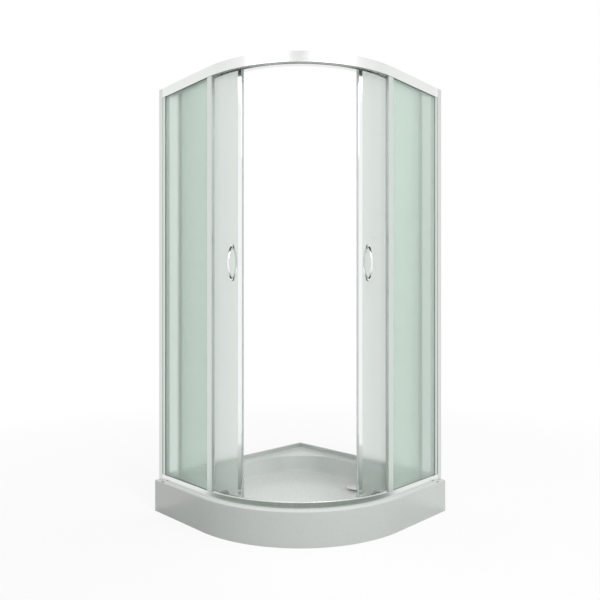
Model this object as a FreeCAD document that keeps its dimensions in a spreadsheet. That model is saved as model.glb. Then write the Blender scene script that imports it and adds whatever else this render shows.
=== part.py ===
import FreeCAD, Part
import math
import os
import Sketcher

# Quadrant shower enclosure: a low tray, two flat fixed panes and two curved sliding doors.
# +Z is up, the walls are at X = -half side and Y = +half side, the curved front faces +X
# and -Y, and the origin is on the floor under the middle of the square round the tray.
# Rails, panes and doors are measured outward from the axis of the front curve, and on the
# straight ends also by their distance from the wall. Pieces of the right-hand side are
# modelled, and those of the left-hand side are their mirror images.

DRIVING_SIZES = (
    # tray
    ("TraySide", 900), ("TrayStraight", 350), ("TrayHeight", 135), ("TraySkin", 5),
    ("RearLedge", 60), ("FrontLedge", 100), ("BasinDepth", 70), ("BasinFlare", 33),
    ("BasinFloorSkin", 6), ("BasinRearRadius", 300), ("BasinSideRadius", 80),
    ("BasinFootRound", 14), ("BasinLipRound", 8), ("RimRound", 4), ("UpstandHeight", 20),
    ("UpstandThick", 10), ("UpstandStop", 60), ("SkirtRise", 70), ("SkirtEnd", 40),
    ("PlugLength", 20), ("PlugWidth", 6), ("PlugDepth", 3), ("PlugInset", 5),
    ("PlugFromWall", 40), ("PlugSunk", 0.5), ("FallRadius", 80), ("SeatPlay", 2),
    # base board, support frame and feet
    ("BoardThick", 10), ("BoardInset", 12), ("TubeSize", 20), ("TubeWall", 2),
    ("TubeNear", 200), ("TubeMiddle", 430), ("TubeFar", 700), ("TubeFromWall", 130),
    ("TubeLong", 600), ("TubeShort", 480), ("CrossFromWall", 450), ("FootInset", 40),
    ("StudRadius", 5), ("StudPlay", 0.2), ("StudLength", 38), ("PadRadius", 20),
    ("PadHeight", 8), ("PadFloor", 3),
    ("NutRadius", 9), ("NutHeight", 6),
    # waste
    ("WasteFromLeft", 553), ("WasteFromRight", 190), ("WasteHole", 30), ("WasteBore", 25),
    ("ThroatWall", 2.5), ("FlangeRadius", 42), ("FlangeThick", 2.5), ("SeatDepth", 3),
    ("SeatGap", 4), ("GasketThick", 1.5), ("CoverRadius", 45), ("CoverThick", 3),
    ("CoverDome", 2), ("CoverShoulder", 36), ("CoverShoulderDrop", 0.8), ("CoverGap", 4),
    ("CoverLegReach", 40), ("SpigotLength", 12), ("SpigotWall", 2), ("LowerGasketRadius", 45),
    ("TrapRadius", 50), ("TrapWall", 3), ("TrapFloor", 4), ("ThroatDip", 22),
    ("OutletRadius", 20), ("OutletNeck", 19), ("OutletWall", 2), ("OutletRoot", 9),
    ("OutletReach", 125), ("OutletNutRadius", 23.5), ("OutletNutLength", 22),
    # frame profiles
    ("EnclosureHeight", 1850), ("FrameInset", 20.5), ("RailWall", 1.6), ("TrackMargin", 5),
    ("TopRailHeight", 40), ("BottomRailHeight", 26), ("SlotWidth", 11.2), ("RibShort", 1),
    ("TrackDrop", 25), ("TrackThick", 2), ("TrackLip", 1.5), ("KerbHeight", 5),
    ("FillerThick", 3), ("FillerGap", 0.3), ("WallProfileWidth", 26),
    ("WallProfileDepth", 30), ("WallProfileBase", 2), ("WallHoleRadius", 3),
    ("WallHoleFirst", 107.5), ("WallHoleCount", 4),
    ("PostStart", 6), ("PostReach", 44), ("PostWall", 1.4), ("PostSlot", 14),
    ("PostSolid", 16), ("SlideGap", 0.5), ("ButtGap", 0.3), ("CapDepth", 38),
    ("RailScrewRadius", 2.1), ("RailScrewPort", 2.2), ("RailScrewHead", 3.7),
    ("RailScrewLength", 60), ("RailScrewFromWall", 36),
    ("EndBlockWidth", 15), ("BridgeLength", 7), ("EndPlateThick", 1.7), ("StopArmRise", 10),
    ("SideScrewRadius", 2),
    ("SideScrewHead", 4), ("SideScrewHeadThick", 2), ("SideScrewLength", 8),
    ("SideScrewFromWall", 17), ("SideScrewFirst", 165),
    # fixed panes
    ("GlassThick", 5), ("PaneInset", 7.2), ("PaneFromWall", 32), ("PaneOverrun", 12),
    ("GasketWall", 1.1), ("RailGasketHeight", 13), ("PaneFootGap", 2.4),
    ("EdgeProfileWidth", 30), ("EdgeProfileThick", 9.4), ("EdgeGrip", 12), ("GripPlay", 0.15),
    ("FinReach", 10), ("FinThick", 1.6), ("FinInset", 7), ("FinRoot", 0.8), ("FinFoot", 6),
    # sliding doors; angles run back from the middle of the closed front
    ("DoorClear", 20.1), ("DoorFootGap", 3), ("DoorHeadGap", 2.4), ("LeadWidth", 16),
    ("LeadCover", 11), ("LeadThick", 11), ("LeadBevel", 1.5), ("LeadHeadGap", 29),
    ("LeadFootGap", 2), ("SealWidth", 6), ("SealThick", 5), ("MeetingGap", 0.6), ("TrailWidth", 22),
    ("TrailCover", 18), ("TrailThick", 8), ("TrailGap", 2), ("LipReach", 6),
    ("LipThick", 1.6), ("FrontRollerAngle", 11), ("RollerSpacing", 262),
    ("TrackFromDoor", 29), ("TrackPlay", 4), ("OpenAngle", 28),
    # rollers
    ("TopWheelRadius", 11), ("BottomWheelRadius", 12), ("WheelWidth", 8), ("WheelRim", 1.2),
    ("AxleRadius", 3), ("AxleFit", 0.05), ("HubRadius", 11.5), ("HubClear", 6),
    ("NeckRadius", 6), ("HubSeat", 0.3), ("RollingGap", 0.3), ("WheelPlay", 0.3),
    ("RivetRadius", 4.5), ("RivetThick", 1.2), ("GlassHole", 4.3), ("SpigotRadius", 4.1), ("HubCapRadius", 9),
    ("HubCapThick", 2.2), ("HubScrewRadius", 2), ("HubFloor", 4), ("StopGap", 1),
    # handles
    ("HandleHeight", 1067), ("HandleSpacing", 128), ("HandleAngle", 5.7), ("BowReach", 30),
    ("BowRise", 26), ("BowWidth", 9), ("BowThick", 7), ("BowBevel", 2), ("BossRadius", 6),
    ("BossLength", 8), ("BossFloor", 2), ("HandleStudRadius", 2.4), ("HandleStudPlay", 0.05),
    ("SleeveWall", 0.8), ("SleevePlay", 0.1),
)
DEGREES = 180 / math.pi
HALF_FRONT = 45

doc = FreeCAD.newDocument("QuadrantEnclosure")
sheet = doc.addObject("Spreadsheet::Sheet", "Sizes")
for row, (alias, number) in enumerate(DRIVING_SIZES, start=1):
    sheet.set(f"A{row}", alias)
    sheet.set(f"B{row}", str(number))
    sheet.setAlias(f"B{row}", alias)
doc.recompute()


class Size:
    """A size that knows its number and its formula in the sheet."""

    def __init__(self, number, formula):
        self.number = number
        self.formula = formula

    def __float__(self):
        return float(self.number)

    def __neg__(self):
        return Size(-self.number, f"(0 - {self.formula})")

    def __add__(self, other):
        other = as_size(other)
        return Size(self.number + other.number, f"({self.formula} + {other.formula})")

    def __sub__(self, other):
        other = as_size(other)
        return Size(self.number - other.number, f"({self.formula} - {other.formula})")

    def __mul__(self, other):
        other = as_size(other)
        return Size(self.number * other.number, f"({self.formula} * {other.formula})")

    def __truediv__(self, other):
        other = as_size(other)
        return Size(self.number / other.number, f"({self.formula} / {other.formula})")

    def __rsub__(self, other):
        return as_size(other) - self

    __radd__ = __add__
    __rmul__ = __mul__


def as_size(value):
    return value if isinstance(value, Size) else Size(float(value), f"({float(value):.9f})")


class SheetSizes:
    """The sheet's aliases as sizes."""

    def __getattr__(self, alias):
        return Size(float(sheet.get(alias)), f"Sizes.{alias}")


s = SheetSizes()
ZERO = as_size(0)


def turn_of(length, radius):
    """The angle in degrees that a length along an arc turns through."""
    return length / radius * DEGREES


def chord_angle(chord, radius):
    ratio = chord / 2 / radius
    return Size(2 * math.degrees(math.asin(float(ratio))), f"(2 * asin({ratio.formula}) / 1deg)")


def cosine(angle):
    return Size(math.cos(math.radians(float(angle))), f"cos({angle.formula} * 1deg)")


def sine(angle):
    return Size(math.sin(math.radians(float(angle))), f"sin({angle.formula} * 1deg)")


def root(size):
    return Size(math.sqrt(float(size)), f"sqrt({size.formula})")


# Derived sizes of the frame
half_side = s.TraySide / 2
front_radius = s.TraySide - s.TrayStraight
rail_outer = front_radius - s.FrameInset
slot_outer = rail_outer - s.RailWall
rib_outer = slot_outer - s.SlotWidth
rib_inner = rib_outer - s.RailWall
door_radius = rib_inner - s.DoorClear
track_radius = door_radius - s.TrackFromDoor
wheel_inner = track_radius - s.WheelWidth / 2
wheel_outer = track_radius + s.WheelWidth / 2
rail_inner = wheel_inner - s.TrackPlay - s.TrackMargin
kerb_outer = rail_inner + s.RailWall
track_edge = wheel_outer + s.TrackPlay + s.TrackLip
top = s.EnclosureHeight
top_web = top - s.RailWall
top_rail_foot = top - s.TopRailHeight
track_top = top - s.TrackDrop
rail_base = s.TrayHeight + s.RailWall
bottom_rail_head = s.TrayHeight + s.BottomRailHeight
rail_end = s.WallProfileWidth + s.ButtGap

# Derived sizes of the fixed panes
pane_outer = rail_outer - s.PaneInset + s.GlassThick / 2
pane_inner = pane_outer - s.GlassThick
pane_foot = rail_base + s.PaneFootGap
pane_head = top_web - s.PaneFootGap
pane_end = s.TrayStraight + s.PaneOverrun
post_outer = slot_outer - s.SlideGap
post_inner = rail_outer - s.WallProfileDepth + s.RailWall + s.SlideGap
post_slot_outer = post_outer - s.PostWall
post_slot_inner = pane_inner - (post_slot_outer - pane_outer)

# Derived sizes of the doors and their rollers
door_outer = door_radius + s.GlassThick / 2
door_inner = door_radius - s.GlassThick / 2
door_foot = rail_base + s.DoorFootGap
door_head = top_web - s.DoorHeadGap
lead_start = s.MeetingGap / 2 + s.SealWidth
front_angle = s.FrontRollerAngle - HALF_FRONT
rear_angle = front_angle + chord_angle(s.RollerSpacing, track_radius)
glass_start = turn_of(lead_start + s.LeadWidth - s.LeadCover, door_radius) - HALF_FRONT
trail_start = rear_angle + turn_of(s.HubRadius + s.TrailGap, door_radius)
glass_span = trail_start + turn_of(s.TrailCover, door_radius) - glass_start
top_axle = track_top + s.RollingGap + s.TopWheelRadius
bottom_axle = rail_base + s.RollingGap + s.BottomWheelRadius
hub_inner = track_edge + s.HubClear
hub_face = door_inner - s.HubSeat
lead_foot = door_foot + s.LeadFootGap
lead_head = top_web - s.LeadHeadGap

# Derived levels of the tray
basin_floor = s.TrayHeight - s.BasinDepth
tray_underside = basin_floor - s.BasinFloorSkin
board_foot = tray_underside - s.BoardThick
tube_foot = board_foot - s.TubeSize
seat_level = basin_floor - s.SeatDepth
flange_head = seat_level + s.GasketThick + s.FlangeThick


# Places
NO_TURN = FreeCAD.Rotation()
OUTWARD = FreeCAD.Rotation(FreeCAD.Vector(0, 1, 0), 90)
HERE = FreeCAD.Placement()


def vector(x, y, z=0.0):
    return FreeCAD.Vector(float(x), float(y), float(z))


def shifted(x, y, z=0.0):
    return FreeCAD.Placement(vector(x, y, z), NO_TURN)


def about_upright(angle):
    return FreeCAD.Rotation(FreeCAD.Vector(0, 0, 1), float(angle))


def on_circle(radius, angle):
    """A point on a circle round the axis of the front curve."""
    turn = math.radians(float(angle))
    return vector(float(radius) * math.cos(turn), float(radius) * math.sin(turn))


def carried(start, end, new_start, new_end):
    """The rigid move that takes a line to a new place."""
    turn = math.atan2(new_end.y - new_start.y, new_end.x - new_start.x)
    turn -= math.atan2(end.y - start.y, end.x - start.x)
    rotation = about_upright(math.degrees(turn))
    return FreeCAD.Placement(new_start - rotation.multVec(start), rotation)


on_curve_axis = shifted(s.TrayStraight - half_side, half_side - s.TrayStraight)
on_tray_corner = shifted(-half_side, -half_side)

# Each door hangs on a front and a rear pair of rollers. At rest, pushed open, the front
# pair is still on the curve and the rear pair on the straight. Closed, both are on the
# curve. The two places of the door are a turn about an upright pole inside the cabin, and
# between them the rollers wander across the track by no more than the track's play.
front_home = on_circle(track_radius, front_angle)
rear_home = on_circle(track_radius, rear_angle)
inner_track = track_radius - s.TrackPlay
outer_track = track_radius + s.TrackPlay

front_open_x = track_radius * cosine(front_angle + s.OpenAngle)
front_open_y = track_radius * sine(front_angle + s.OpenAngle)
open_reach = inner_track - front_open_x
rear_open_y = front_open_y + root(s.RollerSpacing * s.RollerSpacing - open_reach * open_reach)
door_open = carried(front_home, rear_home, vector(front_open_x, front_open_y),
                    vector(inner_track, rear_open_y))

between = math.acos(float((outer_track * outer_track + inner_track * inner_track
                           - s.RollerSpacing * s.RollerSpacing)
                          / (outer_track * inner_track * 2)))
front_closed = on_circle(outer_track, front_angle)
rear_closed = on_circle(inner_track, float(front_angle) + math.degrees(between))
door_closed = carried(front_home, rear_home, front_closed, rear_closed)
tip = door_closed.multVec(on_circle(door_radius, -HALF_FRONT))
spare = math.degrees(math.atan2(tip.y, tip.x)) + HALF_FRONT
door_closed = FreeCAD.Placement(vector(0, 0), about_upright(-spare)).multiply(door_closed)

closing = door_closed.multiply(door_open.inverse())
travel = closing.Rotation.toEuler()[0]
half_shift = closing.Base * 0.5
pole = half_shift + FreeCAD.Vector(0, 0, 1).cross(half_shift) / math.tan(math.radians(travel) / 2)
door_rest = on_curve_axis.multiply(door_open)


def on_door(angle, height=0.0):
    """A place on the right-hand door: X points outward, Z up."""
    return door_rest.multiply(FreeCAD.Placement(vector(0, 0, height), about_upright(angle)))


def through_door(angle, height):
    """A place on the right-hand door with Z pointing outward through the glass."""
    return on_door(angle, height).multiply(FreeCAD.Placement(vector(0, 0), OUTWARD))


# Building blocks
def bind(thing, **sizes):
    """Tie properties of an object to formulas of the sheet."""
    for name, size in sizes.items():
        thing.setExpression(name, as_size(size).formula)
    return thing


def new_body(label, placement):
    body = doc.addObject("PartDesign::Body", label)
    body.Label = label
    body.Placement = placement
    return body


def new_sketch(body, role, lift=ZERO, shift=ZERO):
    """An empty sketch on a plane of the body, lifted off it and shifted along its X."""
    sketch = body.newObject("Sketcher::SketchObject", f"{body.Name}Sketch")
    plane = next(item for item in body.Origin.OriginFeatures if item.Role == role)
    sketch.AttachmentSupport = [(plane, "")]
    sketch.MapMode = "FlatFace"
    sketch.AttachmentOffset = shifted(shift, 0, lift)
    sketch.setExpression("AttachmentOffset.Base.z", as_size(lift).formula)
    sketch.setExpression("AttachmentOffset.Base.x", as_size(shift).formula)
    return sketch


def hold(sketch, kind, geometry, end, size):
    """Hold a point's distance from the sketch's origin, level or upright, at a size."""
    size = as_size(size)
    if size.number == 0:
        axis = -2 if kind == "DistanceX" else -1
        sketch.addConstraint(Sketcher.Constraint("PointOnObject", geometry, end, axis))
        return
    index = sketch.addConstraint(Sketcher.Constraint(kind, -1, 1, geometry, end, size.number))
    sketch.setExpression(f"Constraints[{index}]", size.formula)


def hold_radius(sketch, geometry, size):
    size = as_size(size)
    index = sketch.addConstraint(Sketcher.Constraint("Radius", geometry, size.number))
    sketch.setExpression(f"Constraints[{index}]", size.formula)


def polygon(sketch, corners):
    """A closed outline of straight runs through corners given as (x, y)."""
    first = sketch.GeometryCount
    points = [vector(x, y) for x, y in corners]
    for start, end in zip(points, points[1:] + points[:1]):
        sketch.addGeometry(Part.LineSegment(start, end), False)
    for number, (x, y) in enumerate(corners):
        following = first + (number + 1) % len(corners)
        sketch.addConstraint(Sketcher.Constraint("Coincident", first + number, 2, following, 1))
        hold(sketch, "DistanceX", first + number, 1, x)
        hold(sketch, "DistanceY", first + number, 1, y)
    return sketch


def rounded(sketch, corners):
    """A closed anticlockwise outline of level and upright runs; a corner is (x, y, radius)."""
    vertices = [vector(x, y) for x, y, radius in corners]
    radii = [as_size(radius) for x, y, radius in corners]
    following = list(range(1, len(corners))) + [0]
    ways = [(vertices[after] - vertices[here]).normalize() for here, after in enumerate(following)]
    runs = []
    for here, after in enumerate(following):
        start = vertices[here] + ways[here] * float(radii[here])
        end = vertices[after] - ways[here] * float(radii[after])
        runs.append(sketch.addGeometry(Part.LineSegment(start, end), False))
    for here, (x, y, radius) in enumerate(corners):
        upright = abs(ways[here].x) < 0.5
        sketch.addConstraint(Sketcher.Constraint("Vertical" if upright else "Horizontal", runs[here]))
        hold(sketch, "DistanceX" if upright else "DistanceY", runs[here], 1, x if upright else y)
        if radii[here].number == 0:
            sketch.addConstraint(Sketcher.Constraint("Coincident", runs[here - 1], 2, runs[here], 1))
            continue
        size = radii[here].number
        centre = vertices[here] + (ways[here] - ways[here - 1]) * size
        start_angle = math.atan2(-ways[here].y, -ways[here].x)
        arc = Part.ArcOfCircle(Part.Circle(centre, FreeCAD.Vector(0, 0, 1), size),
                               start_angle, start_angle + math.pi / 2)
        curve = sketch.addGeometry(arc, False)
        sketch.addConstraint(Sketcher.Constraint("Tangent", runs[here - 1], 2, curve, 1))
        sketch.addConstraint(Sketcher.Constraint("Tangent", curve, 2, runs[here], 1))
        hold_radius(sketch, curve, radii[here])
    return sketch


def circle(sketch, x, y, radius):
    shape = Part.Circle(vector(x, y), FreeCAD.Vector(0, 0, 1), float(radius))
    geometry = sketch.addGeometry(shape, False)
    hold(sketch, "DistanceX", geometry, 3, x)
    hold(sketch, "DistanceY", geometry, 3, y)
    hold_radius(sketch, geometry, radius)
    return sketch


def feature(body, kind, sketch, **sizes):
    made = body.newObject(f"PartDesign::{kind}", f"{body.Name}{kind}")
    made.Profile = sketch
    return bind(made, **sizes)


def pad(body, sketch, length, flip=False):
    made = feature(body, "Pad", sketch, Length=length)
    made.Reversed = flip
    return made


def pocket(body, sketch, length, flip=False):
    made = feature(body, "Pocket", sketch, Length=length)
    made.Reversed = flip
    return made


def revolve(body, sketch, angle, axis="V_Axis", flip=False, midplane=False):
    made = feature(body, "Revolution", sketch, Angle=angle)
    made.ReferenceAxis = (sketch, [axis])
    made.Reversed = flip
    made.Midplane = midplane
    return made


def loft(body, kind, lower, upper):
    made = body.newObject(f"PartDesign::{kind}", f"{body.Name}{kind}")
    made.Profile = lower
    made.Sections = [upper]
    made.Ruled = True
    return made


def fillet(body, radius, wanted):
    """Round those edges of the body's last feature whose middle point is wanted."""
    doc.recompute()
    tip = body.Tip
    names = []
    for number, edge in enumerate(tip.Shape.Edges, start=1):
        middle = edge.valueAt((edge.FirstParameter + edge.LastParameter) / 2)
        if wanted(edge, middle):
            names.append(f"Edge{number}")
    made = body.newObject("PartDesign::Fillet", f"{body.Name}Fillet")
    made.Base = (tip, names)
    return bind(made, Radius=radius)


def extrusion(label, corners, foot, head, placement):
    """An upright profile with the section given in plan."""
    body = new_body(label, placement)
    pad(body, polygon(new_sketch(body, "XY_Plane", foot), corners), head - foot)
    return body


def turned(label, corners, placement):
    """A turned piece; corners are (distance from the axis, distance along it)."""
    body = new_body(label, placement)
    revolve(body, polygon(new_sketch(body, "XZ_Plane"), corners), 360)
    return body


def swept_section(label, corners, start, span, placement):
    """A section given as (radius, height), swept round the axis from a start angle."""
    turned_start = placement.multiply(FreeCAD.Placement(vector(0, 0), about_upright(start)))
    body = new_body(label, turned_start)
    revolve(body, polygon(new_sketch(body, "XZ_Plane"), corners), span)
    return body


def cylinder(label, radius, length, placement):
    made = doc.addObject("Part::Cylinder", label)
    made.Placement = placement
    return bind(made, Radius=radius, Height=length)


def box(label, x, y, z, frame):
    """A block between two limits on each axis of a frame."""
    made = doc.addObject("Part::Box", label)
    made.Placement = frame.multiply(shifted(x[0], y[0], z[0]))
    return bind(made, Length=x[1] - x[0], Width=y[1] - y[0], Height=z[1] - z[0])


def end_block(label, radii, from_wall, heights):
    """A block on the right-hand straight, placed by radius, distance from the wall and height."""
    along = (s.TrayStraight - from_wall[1], s.TrayStraight - from_wall[0])
    return box(label, radii, along, heights, on_curve_axis)


def joined(label, pieces):
    made = doc.addObject("Part::MultiFuse", label)
    made.Shapes = pieces
    made.Label = label
    return made


def cut(label, base, tool):
    made = doc.addObject("Part::Cut", label)
    made.Base = base
    made.Tool = tool
    made.Label = label
    return made


def group(label, pieces):
    made = doc.addObject("Part::Compound", label)
    made.Links = pieces
    made.Label = label
    return made


def mirror(label, source):
    """The left-hand twin, mirrored in the upright plane through the wall corner."""
    made = doc.addObject("Part::Mirroring", label)
    made.Source = source
    made.Base = FreeCAD.Vector(0, 0, 0)
    made.Normal = FreeCAD.Vector(1, 1, 0)
    made.Label = label
    return made


nodes = []


def keep(*pieces):
    nodes.extend(pieces)


def keep_pair(name, right):
    """Keep a right-hand piece and its mirror image as two nodes."""
    right.Label = f"{name}_right"
    keep(right, mirror(f"{name}_left", right))


# Tray: one moulding with a skirt, a ledge, a flared basin and a low upstand on the wall sides
side = s.TraySide
flare_per_drop = s.BasinFlare / s.BasinDepth


def tray_outline(inset):
    """The tray's outline in plan, moved inward."""
    reach = side - inset
    return [(inset, inset, 0), (reach, inset, front_radius - inset), (reach, reach, 0),
            (inset, reach, 0)]


def basin_outline(inset):
    """The basin's outline at the lip, moved inward."""
    near, far = s.RearLedge + inset, side - s.RearLedge - inset
    left, right = s.FrontLedge + inset, side - s.FrontLedge - inset
    return [(near, left, s.BasinSideRadius - inset), (right, left, front_radius - left),
            (right, far, s.BasinSideRadius - inset), (near, far, s.BasinRearRadius - inset)]


def along_walls(setback, thick):
    """A strip along both wall sides that stops short of the front."""
    far = side - thick
    return [(0, setback), (thick, setback), (thick, far), (side - setback, far),
            (side - setback, side), (0, side)]


def level_block(label, x, y, z):
    return box(label, x, y, z, on_tray_corner)


drain_x = s.WasteFromLeft
drain_y = side - s.WasteFromRight
on_drain = on_tray_corner.multiply(shifted(drain_x, drain_y))
seat_radius = s.FlangeRadius + s.SeatPlay

tray = new_body("tray_shell", on_tray_corner)
pad(tray, rounded(new_sketch(tray, "XY_Plane"), tray_outline(ZERO)), s.TrayHeight)
fillet(tray, s.RimRound, lambda edge, middle: (
    middle.z > float(s.TrayHeight) - 1 and middle.y < float(side) - 1 and middle.x > 1))
ledge_underside = s.TrayHeight - s.TraySkin
pocket(tray, rounded(new_sketch(tray, "XY_Plane", ledge_underside), tray_outline(s.TraySkin)),
       ledge_underside)
under_drop = s.BasinDepth + s.BasinFloorSkin
loft(tray, "AdditiveLoft",
     rounded(new_sketch(tray, "XY_Plane", tray_underside),
             basin_outline(flare_per_drop * under_drop - s.TraySkin)),
     rounded(new_sketch(tray, "XY_Plane", s.TrayHeight), basin_outline(-s.TraySkin)))
loft(tray, "SubtractiveLoft",
     rounded(new_sketch(tray, "XY_Plane", basin_floor), basin_outline(s.BasinFlare)),
     rounded(new_sketch(tray, "XY_Plane", s.TrayHeight), basin_outline(ZERO)))


def near_level(level, x, y):
    """Edges at a level inside the basin's outline, away from the tray's edge."""
    return lambda edge, middle: (abs(middle.z - float(level)) < 0.5 and x[0] < middle.x < x[1]
                                 and y[0] < middle.y < y[1])


inside = (float(s.RearLedge) - 1, float(side - s.FrontLedge) + 1)
inside_across = (float(s.FrontLedge) - 1, float(side - s.RearLedge) + 1)
fillet(tray, s.BasinFootRound, near_level(basin_floor, inside, inside_across))
fillet(tray, s.BasinLipRound, near_level(s.TrayHeight, inside, inside_across))
dish = polygon(new_sketch(tray, "XZ_Plane", -drain_y, drain_x),
               [(0, tray_underside - 1), (s.WasteHole, tray_underside - 1),
                (s.WasteHole, seat_level), (seat_radius, seat_level),
                (s.FallRadius, basin_floor), (0, basin_floor)])
groove = feature(tray, "Groove", dish, Angle=360)
groove.ReferenceAxis = (dish, ["V_Axis"])
pad(tray, polygon(new_sketch(tray, "XY_Plane", s.TrayHeight),
                  along_walls(s.UpstandStop, s.UpstandThick)), s.UpstandHeight)
pocket(tray, polygon(new_sketch(tray, "XY_Plane", s.SkirtRise),
                     along_walls(s.SkirtEnd, s.TraySkin)), s.SkirtRise)
plug_reach = side - s.PlugInset
plug_far = side - s.PlugFromWall
plug_places = (
    ((plug_reach - s.PlugWidth, plug_reach), (plug_far - s.PlugLength, plug_far)),
    ((s.PlugFromWall, s.PlugFromWall + s.PlugLength), (s.PlugInset, s.PlugInset + s.PlugWidth)),
)
for x, y in plug_places:
    slot = polygon(new_sketch(tray, "XY_Plane", s.TrayHeight),
                   [(x[0], y[0]), (x[1], y[0]), (x[1], y[1]), (x[0], y[1])])
    pocket(tray, slot, s.PlugDepth)
keep(tray)
plug_height = (s.TrayHeight - s.PlugDepth, s.TrayHeight - s.PlugSunk)
keep(group("rim_plugs", [level_block("Plug", x, y, plug_height) for x, y in plug_places]))

# Base board, welded support frame and adjustable feet
board = new_body("tray_board", on_tray_corner)
board_sketch = rounded(new_sketch(board, "XY_Plane", board_foot),
                       basin_outline(s.BasinFlare + s.BoardInset))
pad(board, circle(board_sketch, drain_x, drain_y, s.TrapRadius + s.SeatGap), s.BoardThick)
keep(board)


def tube(label, x, y, shrink):
    """One square tube, or with shrink the hollow inside it."""
    x = (x[0] + shrink, x[1] - shrink)
    return level_block(label, x, y, (tube_foot + shrink, board_foot - shrink))


long_tubes = ((s.TubeNear, s.TubeLong), (s.TubeMiddle, s.TubeLong), (s.TubeFar, s.TubeShort))
half_tube = s.TubeSize / 2
tube_end = side - s.TubeFromWall
walls, hollows, feet = [], [], []
for centre, length in long_tubes:
    across = (centre - half_tube, centre + half_tube)
    along = (tube_end - length, tube_end)
    walls.append(tube("TubeOuter", across, along, ZERO))
    hollows.append(tube("TubeInner", across, along, s.TubeWall))
    feet.append((centre, tube_end - s.FootInset))
    feet.append((centre, tube_end - length + s.FootInset))
cross_y = (side - s.CrossFromWall - half_tube, side - s.CrossFromWall + half_tube)
hollow_y = (cross_y[0] + s.TubeWall, cross_y[1] - s.TubeWall)
hollow_z = (tube_foot + s.TubeWall, board_foot - s.TubeWall)
for start, end in ((s.TubeNear, s.TubeMiddle), (s.TubeMiddle, s.TubeFar)):
    span = (start + half_tube, end - half_tube)
    walls.append(level_block("CrossOuter", span, cross_y, (tube_foot, board_foot)))
    hollows.append(level_block("CrossInner", span, hollow_y, hollow_z))


def uprights(label, radius, foot, length):
    """One upright cylinder at every foot."""
    return [cylinder(label, radius, length, on_tray_corner.multiply(shifted(x, y, foot)))
            for x, y in feet]


def hexagons(label, radius, foot, length):
    made = []
    for x, y in feet:
        prism = doc.addObject("Part::Prism", label)
        prism.Polygon = 6
        prism.Placement = on_tray_corner.multiply(shifted(x, y, foot))
        made.append(bind(prism, Circumradius=radius, Height=length))
    return made


stud_holes = uprights("StudHole", s.StudRadius + s.StudPlay, tube_foot, s.TubeWall)
keep(cut("tray_frame", joined("Tubes", walls), group("TubeCuts", hollows + stud_holes)))
keep(group("foot_studs", uprights("Stud", s.StudRadius, s.PadFloor, s.StudLength)))
pad_holes = uprights("PadSocket", s.StudRadius + s.AxleFit, s.PadFloor, s.PadHeight)
keep(cut("foot_pads", group("Pads", uprights("Pad", s.PadRadius, ZERO, s.PadHeight)),
         group("PadSockets", pad_holes)))
nut_foot = tube_foot - s.NutHeight
nut_holes = uprights("NutHole", s.StudRadius + s.AxleFit, nut_foot, s.NutHeight)
keep(cut("foot_nuts", group("Nuts", hexagons("Nut", s.NutRadius, nut_foot, s.NutHeight)),
         group("NutHoles", nut_holes)))

# Waste: flange and throat, two gaskets, trap with its outlet, nut and lift-off cover
flange_foot = seat_level + s.GasketThick
throat_radius = s.WasteBore + s.ThroatWall
throat_foot = flange_head - s.ThroatDip
flange_bevel = s.FlangeThick / 2
keep(turned("waste_flange", [
    (s.WasteBore, throat_foot), (throat_radius, throat_foot), (throat_radius, flange_foot),
    (s.FlangeRadius, flange_foot), (s.FlangeRadius, flange_head - flange_bevel),
    (s.FlangeRadius - flange_bevel, flange_head), (throat_radius, flange_head),
    (s.WasteBore, flange_head - flange_bevel)], on_drain))


def washer(label, inner, outer, foot, thick, placement):
    return turned(label, [(inner, foot), (outer, foot), (outer, foot + thick),
                          (inner, foot + thick)], placement)


trap_head = tray_underside - s.GasketThick
keep(group("waste_gaskets", [
    washer("UpperGasket", s.WasteHole, s.FlangeRadius, seat_level, s.GasketThick, on_drain),
    washer("LowerGasket", s.WasteHole, s.LowerGasketRadius, trap_head, s.GasketThick, on_drain)]))

trap_bore = throat_radius + s.SlideGap
cup = turned("TrapCup", [
    (0, s.TrapFloor), (s.TrapRadius, s.TrapFloor), (s.TrapRadius, trap_head),
    (trap_bore, trap_head), (trap_bore, trap_head - s.TrapWall),
    (s.TrapRadius - s.TrapWall, trap_head - s.TrapWall),
    (s.TrapRadius - s.TrapWall, s.TrapFloor + s.TrapWall), (0, s.TrapFloor + s.TrapWall)],
    on_drain)
TOWARD_WALL = FreeCAD.Rotation(FreeCAD.Vector(1, 0, 0), -90)
outlet_level = s.TrapFloor + s.OutletRadius


def on_outlet(reach):
    """A place on the outlet's axis with Z pointing at the wall."""
    return on_drain.multiply(FreeCAD.Placement(vector(0, reach, outlet_level), TOWARD_WALL))


outlet_start = s.TrapRadius - s.OutletRoot
nut_start = s.TrapRadius + s.SeatGap
pipe_start = nut_start + s.OutletNutLength + s.ButtGap
neck = cylinder("OutletNeck", s.OutletNeck, pipe_start - outlet_start,
                on_outlet(outlet_start))
pipe = cylinder("Outlet", s.OutletRadius, s.OutletReach - pipe_start, on_outlet(pipe_start))
solid_trap = joined("TrapSolid", [cup, neck, pipe])
inside_trap = cylinder("TrapInside", s.TrapRadius - s.TrapWall,
                       trap_head - s.TrapWall * 2 - s.TrapFloor,
                       on_drain.multiply(shifted(0, 0, s.TrapFloor + s.TrapWall)))
outlet_bore = cylinder("OutletBore", s.OutletNeck - s.OutletWall,
                       s.OutletReach - outlet_start, on_outlet(outlet_start))
keep(cut("trap_body", solid_trap, group("TrapBores", [inside_trap, outlet_bore])))

outlet_nut = doc.addObject("Part::Prism", "OutletNut")
outlet_nut.Polygon = 8
outlet_nut.Placement = on_outlet(nut_start)
bind(outlet_nut, Circumradius=s.OutletNutRadius, Height=s.OutletNutLength)
keep(cut("outlet_nut", outlet_nut, cylinder("OutletNutHole", s.OutletNeck + s.AxleFit,
                                            s.OutletNutLength, on_outlet(nut_start))))

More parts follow.
